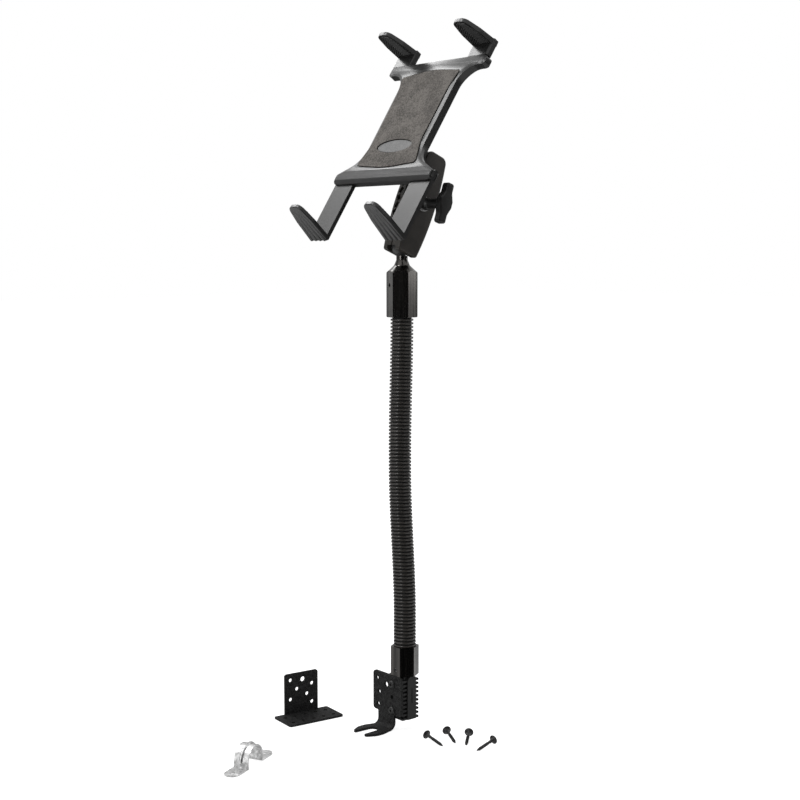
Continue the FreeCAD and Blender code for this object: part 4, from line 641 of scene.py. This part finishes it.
def make_wood_screw_points():
    """Radius = core(z) + 0.62 max(cos, 0)^3, a ridge where z / pitch - turn is whole; the head's top dips
    1.5 along a cross, where |x| or |y| is under 0.85."""
    turn = np.linspace(0, 2 * math.pi, SCREW_SIDES, endpoint=False)
    z = np.linspace(0.0, SCREW_LONG - HEAD_DEEP, SHANK_ROWS)
    core = (SCREW_SHANK - CORE_LOW) * smooth(z / TIP_LONG) ** TIP_BLUNT
    ridge = np.cos(2 * math.pi * (z[:, None] / THREAD_PITCH - turn[None, :] / (2 * math.pi)))
    fade = smooth(z / THREAD_FADE) * smooth((SCREW_LONG - THREAD_END - z) / THREAD_FADE)
    bare = CORE_LOW * smooth((z - SCREW_LONG + BARE_START) / BARE_FADE)
    thread = THREAD_TALL * np.clip(ridge, 0, 1) ** THREAD_POWER * fade[:, None]
    radius = core[:, None] + bare[:, None] + thread
    head_z = np.linspace(SCREW_LONG - HEAD_DEEP, SCREW_LONG - HEAD_CAP, FLARE_ROWS)[1:]
    share = (head_z - SCREW_LONG + HEAD_DEEP) / (HEAD_DEEP - HEAD_CAP)
    flare = SCREW_SHANK + (SCREW_HEAD - SCREW_SHANK) * share ** FLARE_POWER
    top_r = round_rows(SCREW_HEAD * np.cos(np.linspace(0, math.pi / 2, CAP_ROWS)) ** 0.8)
    bar = np.minimum(np.abs(top_r * np.cos(turn)), np.abs(top_r * np.sin(turn)))
    dip = smooth((CROSS_HALF - bar) / CROSS_FLANK) * smooth((CROSS_REACH - top_r) / CROSS_END)
    dome = HEAD_CAP * np.sqrt(np.clip(1 - (top_r / SCREW_HEAD) ** 4, 0, 1))
    top_z = SCREW_LONG - HEAD_CAP + dome - CROSS_DEEP * dip
    all_z = np.concatenate([round_rows(z), round_rows(head_z), top_z])
    all_r = np.concatenate([radius, round_rows(flare), top_r])
    return np.stack([all_r * np.cos(turn), all_r * np.sin(turn), all_z], -1)


def lay_screw(points, x, y, heading):
    """Lay a standing screw on its head's rim and its tip, pointing along its heading from the middle."""
    flat = points - [0, 0, SCREW_LONG / 2]
    turn = math.radians(-90) + math.asin(SCREW_HEAD / SCREW_LONG)
    out, side, up = flat[..., 0], flat[..., 1], flat[..., 2]
    out, up = out * math.cos(turn) + up * math.sin(turn), up * math.cos(turn) - out * math.sin(turn)
    cos, sin = math.cos(math.radians(heading)), math.sin(math.radians(heading))
    laid = np.stack([out * cos - side * sin, out * sin + side * cos, up], -1)
    return laid + [x, y, -up.min() + FLOOR_GAP]


screw = make_wood_screw_points()
screws = [skin("screw_%d" % i, lay_screw(screw, *place), (False, True), capped=True)
          for i, place in enumerate(WOOD_SCREWS)]
stand_for(merged("threaded_screws", screws), "wood_screws")

# Camera

CAMERA_AT = Vector((1.2802, -1.0317, 0.5608))
AZIMUTH, ELEVATION = math.radians(50.0), math.radians(5.9)
SENSOR, FOCAL_PIXELS, PHOTO_WIDE, CLIP_END = 36.0, 1441.5, 800.0, 50.0

lens = bpy.data.cameras.new("photo_view")
lens.lens, lens.sensor_width, lens.clip_end = SENSOR * FOCAL_PIXELS / PHOTO_WIDE, SENSOR, CLIP_END
camera = in_scene("photo_view", lens)
camera.location = CAMERA_AT
looking_back = Vector((math.sin(AZIMUTH) * math.cos(ELEVATION), -math.cos(AZIMUTH) * math.cos(ELEVATION),
                       math.sin(ELEVATION)))
camera.rotation_euler = (-looking_back).to_track_quat("-Z", "Y").to_euler()
bpy.context.scene.camera = camera

# Lamps: name, place, height of the point aimed at on the Z axis, width, height, watts

LAMPS = [
    ("left_of_face", (-1.72, -0.10, 2.23), 0.7, 0.6, 0.6, 12),
    ("above_face", (-0.55, -1.2, 2.6), 0.6, 0.7, 0.7, 20),
    ("rear_right", (0.55, 1.9, 0.9), 0.4, 0.8, 0.8, 6),
    ("strip_left", (0.56, -1.82, 0.62), 0.5, 0.16, 1.3, 9),
    ("left_of_bar", (-1.61, -1.08, 1.89), 0.65, 0.35, 0.35, 5),
]
for name, place, aim, wide, tall, power in LAMPS:
    data = bpy.data.lights.new(name, "AREA")
    data.shape, data.size, data.size_y, data.energy = "RECTANGLE", wide, tall, power
    lamp = in_scene(name, data)
    lamp.location = place
    lamp.rotation_euler = (Vector((0.0, 0.0, aim)) - Vector(place)).to_track_quat("-Z", "Y").to_euler()

# Dark cards: name, headings swept in degrees, near and far (radius, height), grey level

CARDS = [
    ("card_behind_camera", (-62, 8), (2.3, 0.0), (2.3, 1.75), 0.05),
    ("card_in_front", (-80, 0), (0.09, 0.0), (2.3, 0.0), 0.01),
    ("card_right", (18, 62), (2.3, 0.0), (2.3, 1.4), 0.06),
    ("card_left", (-150, -112), (2.3, 0.1), (2.3, 1.3), 0.1),
    ("card_behind", (100, 180), (2.3, 0.0), (2.3, 0.7), 0.12),
    ("card_floor_behind", (100, 180), (0.3, 0.0), (2.3, 0.0), 0.12),
]
CARD_STEPS = 24


def dark_card(name, headings, near, far, level):
    """A curved card round the object that only reflections see."""
    turn = np.radians(np.linspace(headings[0], headings[1], CARD_STEPS))
    rim = [np.stack([r * np.cos(turn), r * np.sin(turn), np.full(CARD_STEPS, z)], -1) for r, z in (near, far)]
    faces = [(i, i + 1, i + CARD_STEPS + 1, i + CARD_STEPS) for i in range(CARD_STEPS - 1)]
    mesh = bpy.data.meshes.new(name)
    mesh.from_pydata(np.concatenate(rim).tolist(), [], faces)
    card = in_scene(name, mesh)
    material, _, shader = new_material(name)
    shader.inputs["Base Color"].default_value = (level, level, level, 1)
    shader.inputs["Roughness"].default_value = 1.0
    mesh.materials.append(material)
    card.visible_camera = card.visible_diffuse = card.visible_shadow = False


for values in CARDS:
    dark_card(*values)

# White world and floor: full strength to the camera, less to the lighting

WORLD_LIGHT = 0.35
FLOOR_REACH, FLOOR_DROP, FLOOR_LEVEL, FLOOR_ROUGH = 14.0, 0.0002, 0.8, 0.9
FLOOR_TO_CAMERA, FLOOR_TO_GLOSS = 0.75, 0.3


def ray_kinds(tree):
    """1 on rays from the camera or through glass, and 1 on glossy rays, as two sockets."""
    path = tree.nodes.new("ShaderNodeLightPath")
    seen = maths(tree, "ADD", path.outputs["Is Camera Ray"], path.outputs["Is Transmission Ray"], clamp=True)
    return seen, path.outputs["Is Glossy Ray"]


def make_world():
    """White to the camera and in reflections, and a weak even light elsewhere."""
    world = bpy.data.worlds.new("studio")
    bpy.context.scene.world = world
    world.use_nodes = True
    sky = world.node_tree
    seen, glossy = ray_kinds(sky)
    strength = maths(sky, "MAXIMUM", maths(sky, "ADD", seen, glossy, clamp=True), WORLD_LIGHT)
    backdrop = sky.nodes["Background"]
    backdrop.inputs["Color"].default_value = (1, 1, 1, 1)
    sky.links.new(strength, backdrop.inputs["Strength"])


def make_floor():
    """A wide flat floor, white to the camera, which keeps the object's shadow."""
    mesh = bpy.data.meshes.new("studio_floor")
    corners = [(-1, -1), (1, -1), (1, 1), (-1, 1)]
    mesh.from_pydata([(x * FLOOR_REACH, y * FLOOR_REACH, 0) for x, y in corners], [], [(0, 1, 2, 3)])
    floor = in_scene("studio_floor", mesh)
    floor.location.z = -FLOOR_DROP
    material, tree, shader = new_material("pale_floor")
    shader.inputs["Base Color"].default_value = (FLOOR_LEVEL, FLOOR_LEVEL, FLOOR_LEVEL, 1)
    shader.inputs["Roughness"].default_value = FLOOR_ROUGH
    shader.inputs["Specular IOR Level"].default_value = 0.0
    shader.inputs["Emission Color"].default_value = (1, 1, 1, 1)
    seen, glossy = ray_kinds(tree)
    shown = maths(tree, "MAXIMUM", maths(tree, "MULTIPLY", seen, FLOOR_TO_CAMERA),
                  maths(tree, "MULTIPLY", glossy, FLOOR_TO_GLOSS))
    tree.links.new(shown, shader.inputs["Emission Strength"])
    mesh.materials.append(material)


make_world()
make_floor()
bpy.context.scene.view_settings.view_transform = "Standard"
